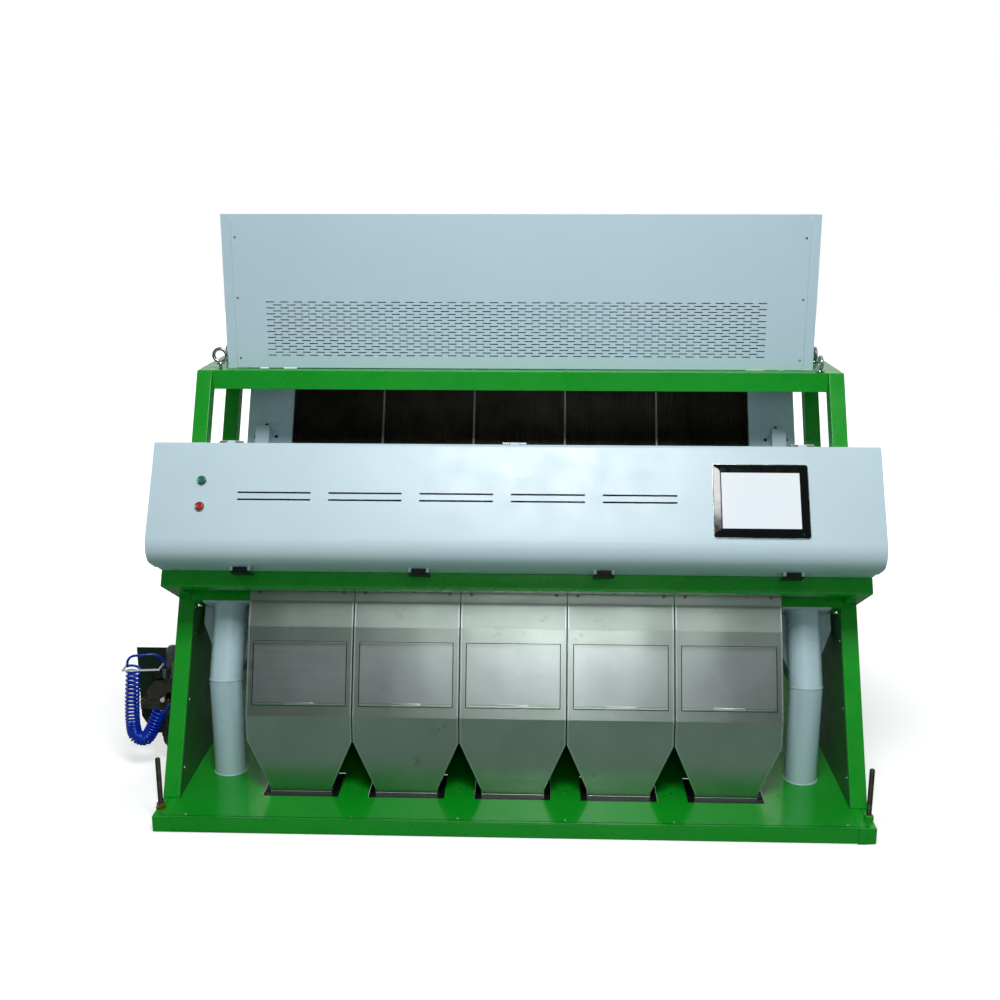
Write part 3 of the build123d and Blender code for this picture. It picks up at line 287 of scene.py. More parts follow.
# Mesh building
class Build:
    """Collects simple solids into one mesh."""

    def __init__(self):
        self.bm = bmesh.new()

    def solid(self, rings, closed_ends=True, loop=False):
        """Skin over rings of points, each ring of the same length."""
        rows = [[self.bm.verts.new(p) for p in ring] for ring in rings]
        count = len(rows[0])
        pairs = list(zip(rows, rows[1:]))
        if loop:
            pairs.append((rows[-1], rows[0]))
        for a, b in pairs:
            for i in range(count):
                j = (i + 1) % count
                self.bm.faces.new((a[i], a[j], b[j], b[i]))
        if closed_ends and not loop:
            self.bm.faces.new(rows[0][::-1])
            self.bm.faces.new(rows[-1])
        return self

    def prism(self, outline, shift):
        """Outline of 3D points pushed along shift."""
        shift = Vector(shift)
        low = [Vector(p) for p in outline]
        return self.solid([low, [p + shift for p in low]])

    def box(self, x0, x1, y0, y1, z0, z1):
        low = [(x0, y0, z0), (x1, y0, z0), (x1, y1, z0), (x0, y1, z0)]
        return self.prism(low, (0, 0, z1 - z0))

    def lean_box(self, x0, x1, n0, n1, u0, u1):
        low = [lp(n0, u0, x0), lp(n0, u0, x1), lp(n1, u0, x1), lp(n1, u0, x0)]
        return self.prism(low, lp(0, u1 - u0) - lp(0, 0))

    def lathe(self, origin, axis, profile, seg=24, phase=0.0):
        """Profile of (radius, height) pairs turned about axis."""
        axis = Vector(axis).normalized()
        side = axis.orthogonal().normalized()
        other = axis.cross(side)
        origin = Vector(origin)
        rings = []
        for r, h in profile:
            ring = []
            for k in range(seg):
                a = phase + 2 * pi * k / seg
                ring.append(origin + axis * h + (side * cos(a) + other * sin(a)) * max(r, 1e-5))
            rings.append(ring)
        return self.solid(rings)

    def cylinder(self, origin, axis, r, h, seg=24, edge=0.0005):
        edge = min(edge, r * 0.4, h * 0.4)
        return self.lathe(origin, axis, [(r - edge, 0), (r, edge), (r, h - edge), (r - edge, h)],
                          seg)

    def hexagon(self, origin, axis, flats, h):
        r = flats / 2 / cos(pi / 6)
        return self.lathe(origin, axis, [(r * 0.9, 0), (r, h * 0.12), (r, h * 0.88),
                                         (r * 0.9, h)], 6)

    def ring(self, centre, axis, big, small, seg=40, sub=14):
        axis = Vector(axis).normalized()
        side = axis.orthogonal().normalized()
        other = axis.cross(side)
        rings = []
        for k in range(seg):
            a = 2 * pi * k / seg
            out = side * cos(a) + other * sin(a)
            rings.append([Vector(centre) + out * (big + small * cos(b)) + axis * small * sin(b)
                          for b in [2 * pi * m / sub for m in range(sub)]])
        return self.solid(rings, loop=True)

    def tube(self, points, r, seg=10):
        """Round bar along a path, with a frame carried along it."""
        points = [Vector(p) for p in points]
        heading = (points[1] - points[0]).normalized()
        side = heading.orthogonal().normalized()
        rings = []
        for i, p in enumerate(points):
            a, b = points[max(i - 1, 0)], points[min(i + 1, len(points) - 1)]
            heading = (b - a).normalized()
            side = (side - heading * side.dot(heading)).normalized()
            other = heading.cross(side)
            rings.append([p + (side * cos(t) + other * sin(t)) * r
                          for t in [2 * pi * m / seg for m in range(seg)]])
        return self.solid(rings)

    def make(self, name, material, body, slot=None, bevel=0.0, angle=35, replaces=(),
             segments=2):
        bmesh.ops.recalc_face_normals(self.bm, faces=self.bm.faces)
        mesh = bpy.data.meshes.new(name)
        self.bm.to_mesh(mesh)
        self.bm.free()
        return finish_piece(name, mesh, material, body, bevel, angle, replaces, segments)


def finish_piece(name, mesh, material, body, bevel, angle, replaces, segments=2):
    mesh.materials.clear()
    mesh.materials.append(material)
    mesh.polygons.foreach_set("use_smooth", [True] * len(mesh.polygons))
    mesh.set_sharp_from_angle(angle=radians(angle))
    obj = bpy.data.objects.new(name, mesh)
    bpy.context.scene.collection.objects.link(obj)
    if bevel:
        mod = obj.modifiers.new("edge", "BEVEL")
        mod.width = bevel
        mod.segments = segments
        mod.limit_method = "ANGLE"
        mod.angle_limit = radians(28)
        mod.harden_normals = True
        mod.use_clamp_overlap = True
    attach(obj, body)
    if replaces:
        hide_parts(*replaces)
    return obj


def drop_voids(bm):
    """Removes the shells that lie inside another shell, such as the void of a closed tube."""
    bm.verts.ensure_lookup_table()
    seen, shells = set(), []
    for start in bm.verts:
        if start.index in seen:
            continue
        stack, shell = [start], []
        seen.add(start.index)
        while stack:
            v = stack.pop()
            shell.append(v)
            for e in v.link_edges:
                w = e.other_vert(v)
                if w.index not in seen:
                    seen.add(w.index)
                    stack.append(w)
        low = [min(v.co[k] for v in shell) for k in range(3)]
        high = [max(v.co[k] for v in shell) for k in range(3)]
        shells.append((shell, low, high))
    doomed = []
    for shell, low, high in shells:
        volume = 0.0
        for f in {f for v in shell for f in v.link_faces}:
            points = [v.co for v in f.verts]
            for a, b in zip(points[1:], points[2:]):
                volume += points[0].dot(a.cross(b))
        if volume < 0:
            doomed += shell
    bmesh.ops.delete(bm, geom=doomed, context="VERTS")


def copy_node(node, material, bevel=0.001, angle=35, name=None, segments=2):
    """A piece drawn from a CAD node's own shape, with softened edges."""
    bm = bmesh.new()
    bm.from_mesh(nodes[node].data)
    bmesh.ops.remove_doubles(bm, verts=bm.verts, dist=2e-5)
    bmesh.ops.dissolve_limit(bm, angle_limit=radians(0.7), verts=bm.verts, edges=bm.edges)
    bm.normal_update()
    drop_voids(bm)
    shared = [e for e in bm.edges if len(e.link_faces) > 2]
    bmesh.ops.split_edges(bm, edges=shared)
    mesh = bpy.data.meshes.new(node)
    bm.to_mesh(mesh)
    bm.free()
    return finish_piece(name or node + "_drawn", mesh, material, body_of[node],
                        bevel, angle, (node,), segments)


def screw_head(b, origin, axis, r, h=None):
    """Pan head with a shallow recess."""
    h = h or r * 0.6
    b.lathe(origin, axis, [(r, -0.0004), (r, h * 0.35), (r * 0.8, h * 0.85), (r * 0.42, h),
                           (r * 0.38, h * 0.45), (0.0, h * 0.42)], 14)
    return b


# Plain copies: node, material, edge width
PLAIN = [
    ("base_frame", GREEN, 0.0030), ("deck_plate", DECK, 0.0006), ("posts", GREEN, 0.0030),
    ("top_frame", GREEN, 0.0030), ("front_beam", GREEN, 0.0030), ("cross_beams", GREEN, 0.0012),
    # The side panels take the darker green copy, which paints their shade
    ("side_panels", GREEN_SHADED, 0.0006), ("feed_box", BOX, 0.0006), ("feed_bins", STEEL, 0.0006),
    ("feeder_drives", GREY, 0.0010), ("chute_frame", PALE, 0.0006),
    ("cover_arms", PALE, 0.0015), ("front_optics_box", WHITE, 0.0008),
    ("rear_optics_box", WHITE, 0.0008), ("camera_units", BLACK, 0.0015),
    ("ejector_bar", ALU, 0.0012), ("cover_hinges", ZINC, 0.0005), ("reject_trough", STEEL, 0.0006),
    ("side_funnels", PALE, 0.0006), ("control_cabinet", BOX, 0.0008),
    ("cabinet_door", BOX, 0.0010), ("front_cover", WHITE, 0.0006),
    ("optics_windows", GLASS, 0.0005)]
PLAIN += [(f"feeder_tray_{i}", STEEL, 0.0006) for i in range(1, 6)]
PLAIN += [(f"cover_latch_{i}", BLACK, 0.0014) for i in range(1, 5)]
for node, material, width in PLAIN:
    copy_node(node, material, width)
for i in range(1, 6):
    copy_node(f"discharge_hopper_{i}", STEEL, 0.0006, angle=12)
    copy_node(f"sample_door_{i}", DOOR, 0.0005, angle=15)


# Perforated front panel of the feed box
def vent_sheet():
    half, front = 0.927, yy(0.8125)
    low, high = 1.249, 1.744
    rows, pitch_x, slot_w, slot_h = 19, 0.0456, 0.028, 0.0032
    left, right = -0.8235, 0.8180
    z0, z1 = 1.2905, 1.4640
    pitch_z = (z1 - z0) / (rows - 1)
    slots = []
    for row in range(rows):
        z = z0 + row * pitch_z
        shift = 0.0 if row % 2 == 0 else pitch_x / 2
        count = 36 if row % 2 == 0 else 35
        slots.append((z, [(left + shift + k * pitch_x, left + shift + k * pitch_x + slot_w)
                          for k in range(count)]))
    xs = sorted({-half, half, *[round(e, 6) for _, row in slots for s in row for e in s]})
    zs = [low]
    for z, _ in slots:
        zs += [z - slot_h / 2, z + slot_h / 2]
    zs.append(high)
    b = Build()
    grid = [[b.bm.verts.new((x, front, z)) for x in xs] for z in zs]
    for r in range(len(zs) - 1):
        spans = slots[(r - 1) // 2][1] if r % 2 == 1 else []
        for c in range(len(xs) - 1):
            mid = (xs[c] + xs[c + 1]) / 2
            if any(a < mid < z for a, z in spans):
                continue
            b.bm.faces.new((grid[r][c], grid[r][c + 1], grid[r + 1][c + 1], grid[r + 1][c]))
    loose = [v for v in b.bm.verts if not v.link_faces]
    bmesh.ops.delete(b.bm, geom=loose, context="VERTS")
    made = bmesh.ops.extrude_face_region(b.bm, geom=list(b.bm.faces))
    for v in [g for g in made["geom"] if isinstance(g, bmesh.types.BMVert)]:
        v.co.y += 0.002
    return b.make("vent_panel_drawn", BOX, "machine", "vent_panel", replaces=("vent_panel",))


vent_sheet()

screws = Build()
for x in (-0.9145, 0.9145):
    for z in (1.671, 1.477, 1.281):
        screw_head(screws, (x, yy(0.8125), z), (0, -1, 0), 0.0042)
screws.make("panel_screws", ZINC, "machine", "lifting_eyes")

# Screws in the deck and low on the side panels
screws = Build()
for x in (-0.953, -0.468, -0.156, 0.157, 0.472, 0.970):
    screw_head(screws, (x, yy(0.018), 0.05), (0, 0, 1), 0.0045)
for x in (-0.32 * 2.5, -0.32 * 1.5, -0.16, 0.16, 0.32 * 1.5, 0.32 * 2.5):
    screw_head(screws, (x, yy(0.19), 0.05), (0, 0, 1), 0.0035)
for side in (-1, 1):
    for z in (0.12, 0.30, 0.48):
        d = (0.08 + z * SL) / CL + 0.02
        screw_head(screws, (side * 0.998, yy(d), z), (-side, 0, 0), 0.004)
screws.make("deck_screws", ZINC, "machine", "lifting_eyes")

# Screws of the cover arms' flanges
screws = Build()
for side in (-1, 1):
    for dx, u in ((0.0, 1.388), (-0.036, 1.345), (0.036, 1.345)):
        screw_head(screws, lp(0.443, u, side * 0.893 + dx), lp(-1, 0) - lp(0, 0), 0.006)
screws.make("arm_screws", DARK, "machine", "camera_units")


# Lifting eyes, turned smoothly
def lifting_eyes():
    b = Build()
    for x, d, lift, turned in ((-0.977, 0.786, 0.017, False), (0.977, 0.786, 0.0, True),
                               (-1.005, 1.010, 0.0, True), (1.005, 1.010, 0.0, True)):
        base = 1.247 + lift
        y = yy(d)
        b.lathe((x, y, base - 0.02 - lift / 2), (0, 0, 1),
                [(0.0055, 0), (0.0058, 0.001), (0.0058, 0.02 + lift / 2)], 20)
        b.lathe((x, y, base), (0, 0, 1),
                [(0.0125, 0), (0.014, 0.0012), (0.014, 0.005), (0.0095, 0.0085), (0.007, 0.012)],
                28)
        b.ring((x, y, base + 0.008 + 0.021), (1, 0, 0) if turned else (0, 1, 0), 0.021, 0.006)
    b.make("lifting_eyes_drawn", ZINC, "machine", "lifting_eyes", angle=60,
           replaces=("lifting_eyes",))


lifting_eyes()


# Levelling screws with threads, nuts and washers
def levelling():
    for side, material in ((-1, ROD_LEFT), (1, ROD_RIGHT)):
        b = Build()
        for d in (0.053, DEPTH - 0.053):
            profile = [(0.0068, 0.0), (0.0079, 0.0012)]
            z, pitch = 0.0012, 0.0025
            while z < 0.1575:
                profile += [(0.0079, z), (0.0068, z + pitch / 2)]
                z += pitch
            profile += [(0.0066, 0.1595), (0.0050, 0.160)]
            b.lathe((side * 1.037, yy(d), 0.05), (0, 0, 1), profile, 14)
        extra = ("levelling_screws",) if side < 0 else ()
        b.make(f"levelling_rods_{'left' if side < 0 else 'right'}", material, "machine",
               "levelling_screws", angle=70, replaces=extra)
        b = Build()
        for d in (0.053, DEPTH - 0.053):
            b.lathe((side * 1.037, yy(d), 0.05), (0, 0, 1),
                    [(0.0082, 0), (0.0148, 0), (0.015, 0.0004), (0.015, 0.0026), (0.0148, 0.003),
                     (0.0082, 0.003)], 28)
            b.hexagon((side * 1.037, yy(d), 0.053), (0, 0, 1), 0.024, 0.013)
        b.make(f"levelling_nuts_{'left' if side < 0 else 'right'}",
               BRASS if side < 0 else GREEN, "machine", "levelling_screws")


levelling()


# Cover face: point at x and height u, and its outward direction
def face_n(u):
    return -0.2894 + (-0.2745 + 0.2894) * (u - 0.756) / (1.111 - 0.756)


FACE_UP = (lp(face_n(1.111), 1.111) - lp(face_n(0.756), 0.756)).normalized()
FACE_OUT = Vector((0, -FACE_UP.z, FACE_UP.y))


def face_point(x, u, out=0.0):
    return lp(face_n(u), u, x) + FACE_OUT * out


def rounded(width, height, r, seg=6):
    """Rounded rectangle as (a, b) pairs about its centre."""
    points = []
    for cx, cy, start in ((1, 1, 0), (-1, 1, 90), (-1, -1, 180), (1, -1, 270)):
        for k in range(seg + 1):
            a = radians(start + 90 * k / seg)
            points.append((cx * (width / 2 - r) + r * cos(a), cy * (height / 2 - r) + r * sin(a)))
    return points


def face_ring(x, u, width, height, r, out):
    centre = face_point(x, u, out)
    return [centre + Vector((a, 0, 0)) + FACE_UP * b for a, b in rounded(width, height, r)]


def touch_panel():
    x, u = 0.7045, 0.9425
    b = Build()
    w, h = 0.271, 0.217
    outer = [(0.0, 0.0), (0.0, 0.0045), (0.0006, 0.0056), (0.0016, 0.006)]
    rings = [face_ring(x, u, w - 2 * s, h - 2 * s, 0.008 - s, out) for s, out in outer]
    centre = 0.834 + 0.027 + 0.0825
    for w2, h2, out in ((0.2232, 0.1662, 0.006), (0.2222, 0.1652, 0.0054)):
        rings.append(face_ring(x, centre, w2, h2, 0.0015, out))
    b.solid(rings)
    b.make("touch_panel_drawn", BEZEL, "cover", "touch_panel", angle=40,
           replaces=("touch_panel",))
    b = Build()
    b.solid([face_ring(x, u, w + 0.0036, h + 0.0036, 0.0095, out) for out in (0.0, 0.0034)]
            + [face_ring(x, u, w + 0.0024, h + 0.0024, 0.009, 0.0042),
               face_ring(x, u, w - 0.0006, h - 0.0006, 0.008, 0.0042)])
    b.make("touch_panel_rim", ZINC, "cover", "touch_panel", angle=40)
    b = Build()
    b.solid([face_ring(x, u, 0.246, 0.186, 0.004, -0.044), face_ring(x, u, 0.246, 0.186, 0.004, 0)])
    b.make("touch_panel_body", DARK, "cover", "touch_panel", bevel=0.001)
    b = Build()
    b.solid([face_ring(x, centre, 0.2224, 0.1654, 0.0012, 0.0040),
             face_ring(x, centre, 0.2224, 0.1654, 0.0012, 0.0057)])
    b.make("touch_screen_drawn", SCREEN, "cover", "touch_screen", replaces=("touch_screen",))
    b = Build()
    b.cylinder(face_point(x + 0.116, 0.845, 0.0058), FACE_OUT, 0.0018, 0.0004, 12, 0.0001)
    b.make("touch_panel_light", GREEN_CAP, "cover", "touch_panel")


touch_panel()


def buttons():
    b = Build()
    for u in (0.991, 0.9125):
        b.lathe(face_point(-0.9045, u), FACE_OUT,
                [(0.0145, 0), (0.0145, 0.0035), (0.0138, 0.0048), (0.0122, 0.005),
                 (0.0114, 0.0044), (0.0113, 0.001)], 40)
    b.make("button_collars_drawn", ZINC, "cover", "button_collars", angle=50,
           replaces=("button_collars",))
    for name, u, material in (("start_button", 0.991, GREEN_CAP), ("stop_button", 0.9125,
                                                                  RED_CAP)):
        b = Build()
        b.lathe(face_point(-0.9045, u, 0.0033), FACE_OUT,
                [(0.0105, 0), (0.0109, 0.0004), (0.0109, 0.0058), (0.0102, 0.007),
                 (0.0086, 0.0075), (0.0070, 0.0070), (0.0, 0.0066)], 40)
        b.lathe(face_point(-0.9045, u, -0.022), FACE_OUT, [(0.0057, 0), (0.0057, 0.0255)], 20)
        b.make(name + "_drawn", material, name, name, angle=40, replaces=(name,))


buttons()


# Hose
def helix_about(points, coil_r, turns, per_turn=14, hand=1, spacing=None):
    """Points of a helix that follows a path given by closely spaced points."""
    points = [Vector(p) for p in points]
    lengths = [0.0]
    for a, b in zip(points, points[1:]):
        lengths.append(lengths[-1] + (b - a).length)
    total = lengths[-1]
    frames = []
    side = Vector((-1, 0, 0))
    for i, p in enumerate(points):
        a, b = points[max(i - 1, 0)], points[min(i + 1, len(points) - 1)]
        heading = (b - a).normalized()
        side = (side - heading * side.dot(heading)).normalized()
        frames.append((p, side.copy(), heading.cross(side)))
    out = []
    steps = int(turns * per_turn)
    k = 0
    shares = [0.0]
    for s in range(steps):
        here = spacing(s / steps) if spacing else 1.0
        shares.append(shares[-1] + here)
    for s in range(steps + 1):
        at = total * shares[s] / shares[-1]
        while k < len(lengths) - 2 and lengths[k + 1] < at:
            k += 1
        t = (at - lengths[k]) / max(lengths[k + 1] - lengths[k], 1e-9)
        (p, a, b), (q, c, d) = frames[k], frames[k + 1]
        centre = p.lerp(q, t)
        x, y = a.lerp(c, t).normalized(), b.lerp(d, t).normalized()
        angle = hand * 2 * pi * s / per_turn
        out.append(centre + (x * cos(angle) + y * sin(angle)) * coil_r)
    return out


# Drawn details of the discharge hoppers
KNEE = Vector((0, yy(0.160), 0.300))
DOOR_UP = (lp(-0.038, 0.6036) - KNEE).normalized()
DOOR_OUT = Vector((0, -DOOR_UP.z, DOOR_UP.y))


def door_box(b, x0, x1, t0, t1, out0, out1):
    """Box on the door face: t above the knee and out in front of the steel."""
    corners = [KNEE + DOOR_UP * t + DOOR_OUT * o
               for t, o in ((t0, out0), (t1, out0), (t1, out1), (t0, out1))]
    return b.prism([(x0, p.y, p.z) for p in corners], (x1 - x0, 0, 0))


def hopper_details():
    gap_shade, strips, rivets, sleeves_and_shade, lips = Build(), Build(), Build(), Build(), Build()
    for i, x in enumerate(UNIT_X):
        # Black strips in the gaps around each door and under its top lip: painted shade of the gaps
        for side in (-1, 1):
            a, c = sorted((x + side * 0.1392, x + side * 0.1416))
            door_box(gap_shade, a, c, 0.0310, 0.2240, -0.0010, 0.0006)
        door_box(gap_shade, x - 0.1392, x + 0.1392, 0.0306, 0.0322, -0.0006, 0.0006)
        door_box(gap_shade, x - 0.1392, x + 0.1392, 0.2222, 0.2240, -0.0010, 0.0006)
        low, high = 0.683, 0.7155
        strips.lean_box(x - 0.1585, x + 0.1585, -0.0396, -0.0379, low, high)
        strips.box(x - 0.0925, x + 0.0925, yy(0.1586), yy(0.1601), 0.0445, 0.0560)
        for side in (-1, 1):
            edge = x + side * 0.1575
            a, c = sorted((edge, edge - side * 0.0040))
            lips.lean_box(a, c, -0.0388, -0.0379, 0.605, 0.682)
            door_box(lips, a, c, 0.002, 0.264, -0.0002, 0.0008)
            lips.box(a, c, yy(0.1592), yy(0.1601), 0.224, 0.298)
            foot, hip = x + side * 0.0945, x + side * 0.1575
            outline = [(hip, yy(0.1592), 0.2215), (foot, yy(0.1592), 0.0720),
                       (foot - side * 0.0035, yy(0.1592), 0.0720),
                       (hip - side * 0.0035, yy(0.1592), 0.2215)]
            lips.prism(outline, (0, 0.0009, 0))
        for dx in (-0.128, 0.128):
            screw_head(rivets, lp(-0.0396, 0.706, x + dx), lp(-1, 0) - lp(0, 0), 0.0052)
        for k in range(5):
            screw_head(rivets, (x - 0.075 + 0.0375 * k, yy(0.1586), 0.0503), (0, -1, 0), 0.0019)
        for dx in (-0.118, -0.059, 0.0, 0.059, 0.118):
            p = KNEE + DOOR_UP * 0.0262 + DOOR_OUT * 0.0002
            screw_head(rivets, (x + dx, p.y, p.z), DOOR_OUT, 0.0018, 0.0008)
        # Black skirts under the deck around each spout: partly a dark bracket with holes, partly
        # painted shade under the deck
        for a, c, d0, d1 in ((-0.1149, 0.1149, 0.1381, 0.1596), (-0.1149, -0.0950, 0.1596, 0.2999),
                             (0.0950, 0.1149, 0.1596, 0.2999), (-0.0950, 0.0950, 0.2905, 0.2999)):
            sleeves_and_shade.box(x + a, x + c, yy(d0), yy(d1), 0.0425, 0.0450)
        for side in (-1, 1):
            for d in (0.180, 0.215, 0.250):
                sleeves_and_shade.lathe((x + side * 0.1050, yy(d), 0.0449), (0, 0, 1),
                              [(0.0055, 0), (0.0055, 0.0012), (0.0030, 0.0013),
                               (0.0030, 0.0002)], 16)
    # The black door strips paint the shade in the gaps
    gap_shade.make("door_gap_shade", BLACK, "machine", "reject_trough")
    # The strips and seams are real bands and folds; their lighter steel is a painted highlight
    strips.make("hopper_strips", BRIGHT_STEEL, "machine", "discharge_hopper_3", bevel=0.0004)
    lips.make("hopper_seams", BRIGHT_STEEL, "machine", "discharge_hopper_3", bevel=0.0003)
    rivets.make("hopper_rivets", ALU, "machine", "lifting_eyes")
    sleeves_and_shade.make("spout_sleeves_and_shade", BLACK, "machine", "discharge_hopper_3")


hopper_details()


def deck_details():
    """Seam of the deck sheet behind the front rail, and the drilled holes between spouts, drawn as
    black discs that paint the shade inside them.
    """
    b = Build()
    b.box(-1.028, 1.028, yy(0.0080), yy(0.0104), 0.0499, 0.0503)
    for side in (-1, 1):
        a, c = sorted((side * 1.0300, side * 1.0284))
        b.box(a, c, yy(0.0104), yy(0.300), 0.0499, 0.0503)
        # Black discs for the holes: painted shade inside them
        for x in (-0.48, -0.16, 0.16, 0.48):
            for d in (0.175, 0.205):
                b.lathe((x + side * 0.022, yy(d), 0.0498), (0, 0, 1),
                        [(0.0024, 0), (0.0024, 0.0004), (0.0018, 0.0005)], 12)
    b.make("deck_seams_and_hole_shade", BLACK, "machine", "deck_plate")


deck_details()


def chute_dividers():
    b = Build()
    for k in range(4):
        x = -0.48 + 0.32 * k
        b.lean_box(x - 0.0032, x + 0.0032, 0.4444, 0.4458, 1.022, 1.700)
    b.make("chute_dividers", ALU, "machine", "chutes", bevel=0.0004)


chute_dividers()


# Air hose: the routes of part.py, in metres
HOSE_Y = yy(0.400)
HOSE_R = 0.004
COIL_MEAN = 0.0195
COIL_XZ = [(-1.2090, 0.352), (-1.2220, 0.250), (-1.2270, 0.124), (-1.2029, 0.1045),
           (-1.1728, 0.112), (-1.1342, 0.204)]
OUTLET = (-1.116, yy(0.425), 0.346)
INLET = (-1.082, yy(0.425), 0.262)


def route_curve(name, points):
    """Open NURBS spline of order 3 with the given control points."""
    data = bpy.data.curves.new(name, "CURVE")
    data.dimensions = "3D"
    data.resolution_u = 24
    data.use_fill_caps = True
    spline = data.splines.new("NURBS")
    spline.points.add(len(points) - 1)
    for slot, p in zip(spline.points, points):
        slot.co = (*p, 1)
    spline.order_u = 3
    spline.use_endpoint_u = True
    obj = bpy.data.objects.new(name, data)
    bpy.context.scene.collection.objects.link(obj)
    return obj


def route_points(points):
    """Points along the route's own spline, in order."""
    obj = route_curve("route", points)
    mesh = bpy.data.meshes.new_from_object(obj)
    line = [v.co.copy() for v in mesh.vertices]
    bpy.data.objects.remove(obj)
    bpy.data.meshes.remove(mesh)
    return line


def line_length(points):
    return sum((b - a).length for a, b in zip(points, points[1:]))


def turn_spacing(t):
    """Relative pitch of the turns at share t of the coil."""
    return 0.66 + 0.95 * max(0.0, 1 - t / 0.45) ** 0.45 + 0.75 * max(0.0, (t - 0.66) / 0.34)


def air_hose():
    """One hose: down from the outlet, through the coil's turns and up to the inlet."""
    coil = route_points([(x, HOSE_Y, z) for x, z in COIL_XZ])
    helix = helix_about(coil, COIL_MEAN, 36, 18, spacing=turn_spacing)
    x, y, z = OUTLET
    upper = [OUTLET, (x, y, z + 0.024), (x - 0.029, y - 0.010, z + 0.045),
             (-1.180, HOSE_Y + 0.002, 0.391), (-1.207, HOSE_Y, 0.391),
             (-1.220, HOSE_Y, 0.3835), (-1.228, HOSE_Y - 0.002, 0.3705), tuple(helix[0])]
    first = tuple(helix[-1])
    x, y, z = INLET
    lower = [first, (first[0] + 0.008, HOSE_Y + 0.004, first[2] + 0.018),
             (-1.096, HOSE_Y + 0.013, 0.230), (x, y, z - 0.018), INLET]
    line = route_points(upper) + helix[1:-1] + route_points(lower)
    b = Build()
    b.tube(line, HOSE_R, 10)
    piece = b.make("air_hose", BLUE, "machine", "hose_coil", angle=75,
                   replaces=("hose_coil", "hose_leads"))


air_hose()


def hose_band():
    """Flat tie that holds the top of the coil to the regulator."""
    b = Build()
    rows = []
    count = 24
    for k in range(count + 1):
        t = k / count
        x = -1.236 + t * 0.116
        z = 0.3505 + 0.0045 * t
        y = yy(0.3735) - 0.0012 * sin(pi * t)
        low, high = z - 0.0030, z + 0.0030
        rows.append([(x, y, low), (x, y, high), (x, y + 0.0014, high), (x, y + 0.0014, low)])
    b.solid(rows)
    b.box(-1.2385, -1.2355, yy(0.3725), yy(0.4200), 0.3472, 0.3535)
    b.box(-1.1215, -1.1185, yy(0.3725), yy(0.4330), 0.3515, 0.3580)
    b.make("hose_band_drawn", TIE, "machine", "hose_band", bevel=0.0003,
           replaces=("hose_band",))


hose_band()


# Air unit: bracket, regulator, gauge, valve blocks and bowl
NECK = yy(0.457)


def air_bracket():
    b = Build()
    outline = [(-1.2220, 0.3880), (-1.2220, 0.1500), (-1.1900, 0.0900), (-1.0500, 0.0900),
               (-1.0500, 0.3880)]
    b.prism([(x, yy(0.4802), z) for x, z in outline], (0, 0.0026, 0))
    b.box(-1.0528, -1.0500, yy(0.4802), yy(0.5300), 0.1900, 0.3880)
    # The bracket's very dark green is painted shade
    b.make("air_bracket_drawn", BRACKET_SHADE, "machine", "air_bracket", bevel=0.0006,
           replaces=("air_bracket",))


air_bracket()


def regulator():
    x = -1.098
    b = Build()
    flutes = 26
    rings = []
    for r, z in ((0.0195, 0.3592), (0.0212, 0.3605), (0.0212, 0.3885), (0.0206, 0.3920),
                 (0.0120, 0.4030), (0.0060, 0.4050)):
        ring = []
        for k in range(flutes * 4):
            a = 2 * pi * k / (flutes * 4)
            dip = 0.0006 if k % 4 == 0 and z < 0.389 else 0.0
            ring.append((x + (r - dip) * cos(a), NECK + (r - dip) * sin(a), z))
        rings.append(ring)
    b.solid(rings)
    b.make("regulator_knob_drawn", GREY, "knob", "regulator_knob", angle=40,
           replaces=("regulator_knob",))
    b = Build()
    b.lathe((x, NECK, 0.3562), (0, 0, 1), [(0.0195, 0), (0.0200, 0.0004), (0.0200, 0.0024),
                                           (0.0195, 0.0028)], 40)
    b.make("regulator_ring", RED_CAP, "machine", "air_filter")
    b = Build()
    b.lathe((x, NECK, 0.300), (0, 0, 1), [(0.0210, 0), (0.0225, 0.004), (0.0225, 0.028),
                                          (0.0200, 0.040), (0.0196, 0.056)], 32)
    b.box(-1.128, -1.068, yy(0.446), yy(0.480), 0.308, 0.350)
    b.lathe((-1.116, yy(0.4258), 0.306), (0, 0, 1), [(0.0085, 0), (0.0095, 0.002),
                                                      (0.0095, 0.030), (0.0088, 0.033)], 24)
    b.box(-1.123, -1.109, yy(0.4258), yy(0.450), 0.310, 0.334)
    b.box(-1.090, -1.074, yy(0.4258), yy(0.450), 0.270, 0.290)
    b.lathe((-1.082, yy(0.4258), 0.262), (0, 0, 1), [(0.0075, 0), (0.0085, 0.002),
                                                      (0.0085, 0.028), (0.0078, 0.030)], 24)
    b.make("regulator_body", ALU, "machine", "air_filter", bevel=0.0012,
           replaces=("air_filter", "hose_ports"))
    b = Build()
    b.lathe((-1.116, yy(0.4250), 0.338), (0, 0, 1), [(0.0066, 0), (0.0066, 0.0065),
                                                     (0.0052, 0.0078)], 20)
    b.hexagon((-1.116, yy(0.4250), 0.3335), (0, 0, 1), 0.0145, 0.005)
    b.hexagon((-1.082, yy(0.4250), 0.2555), (0, 0, 1), 0.0145, 0.0065)
    b.make("port_fittings", BLACK, "machine", "hose_ports", bevel=0.0003)
    b = Build()
    b.cylinder((-1.1500, yy(0.4700), 0.3080), (0, -1, 0), 0.0165, 0.022, 28, 0.002)
    b.lathe((-1.1500, yy(0.4480), 0.3080), (0, -1, 0), [(0.0165, 0), (0.0165, 0.002),
                                                        (0.0140, 0.0024), (0.0138, 0.001)], 28)
    b.cylinder((-1.136, yy(0.460), 0.3080), (1, 0, 0), 0.005, 0.02, 14)
    b.make("pressure_gauge", BEZEL, "machine", "air_filter")


regulator()


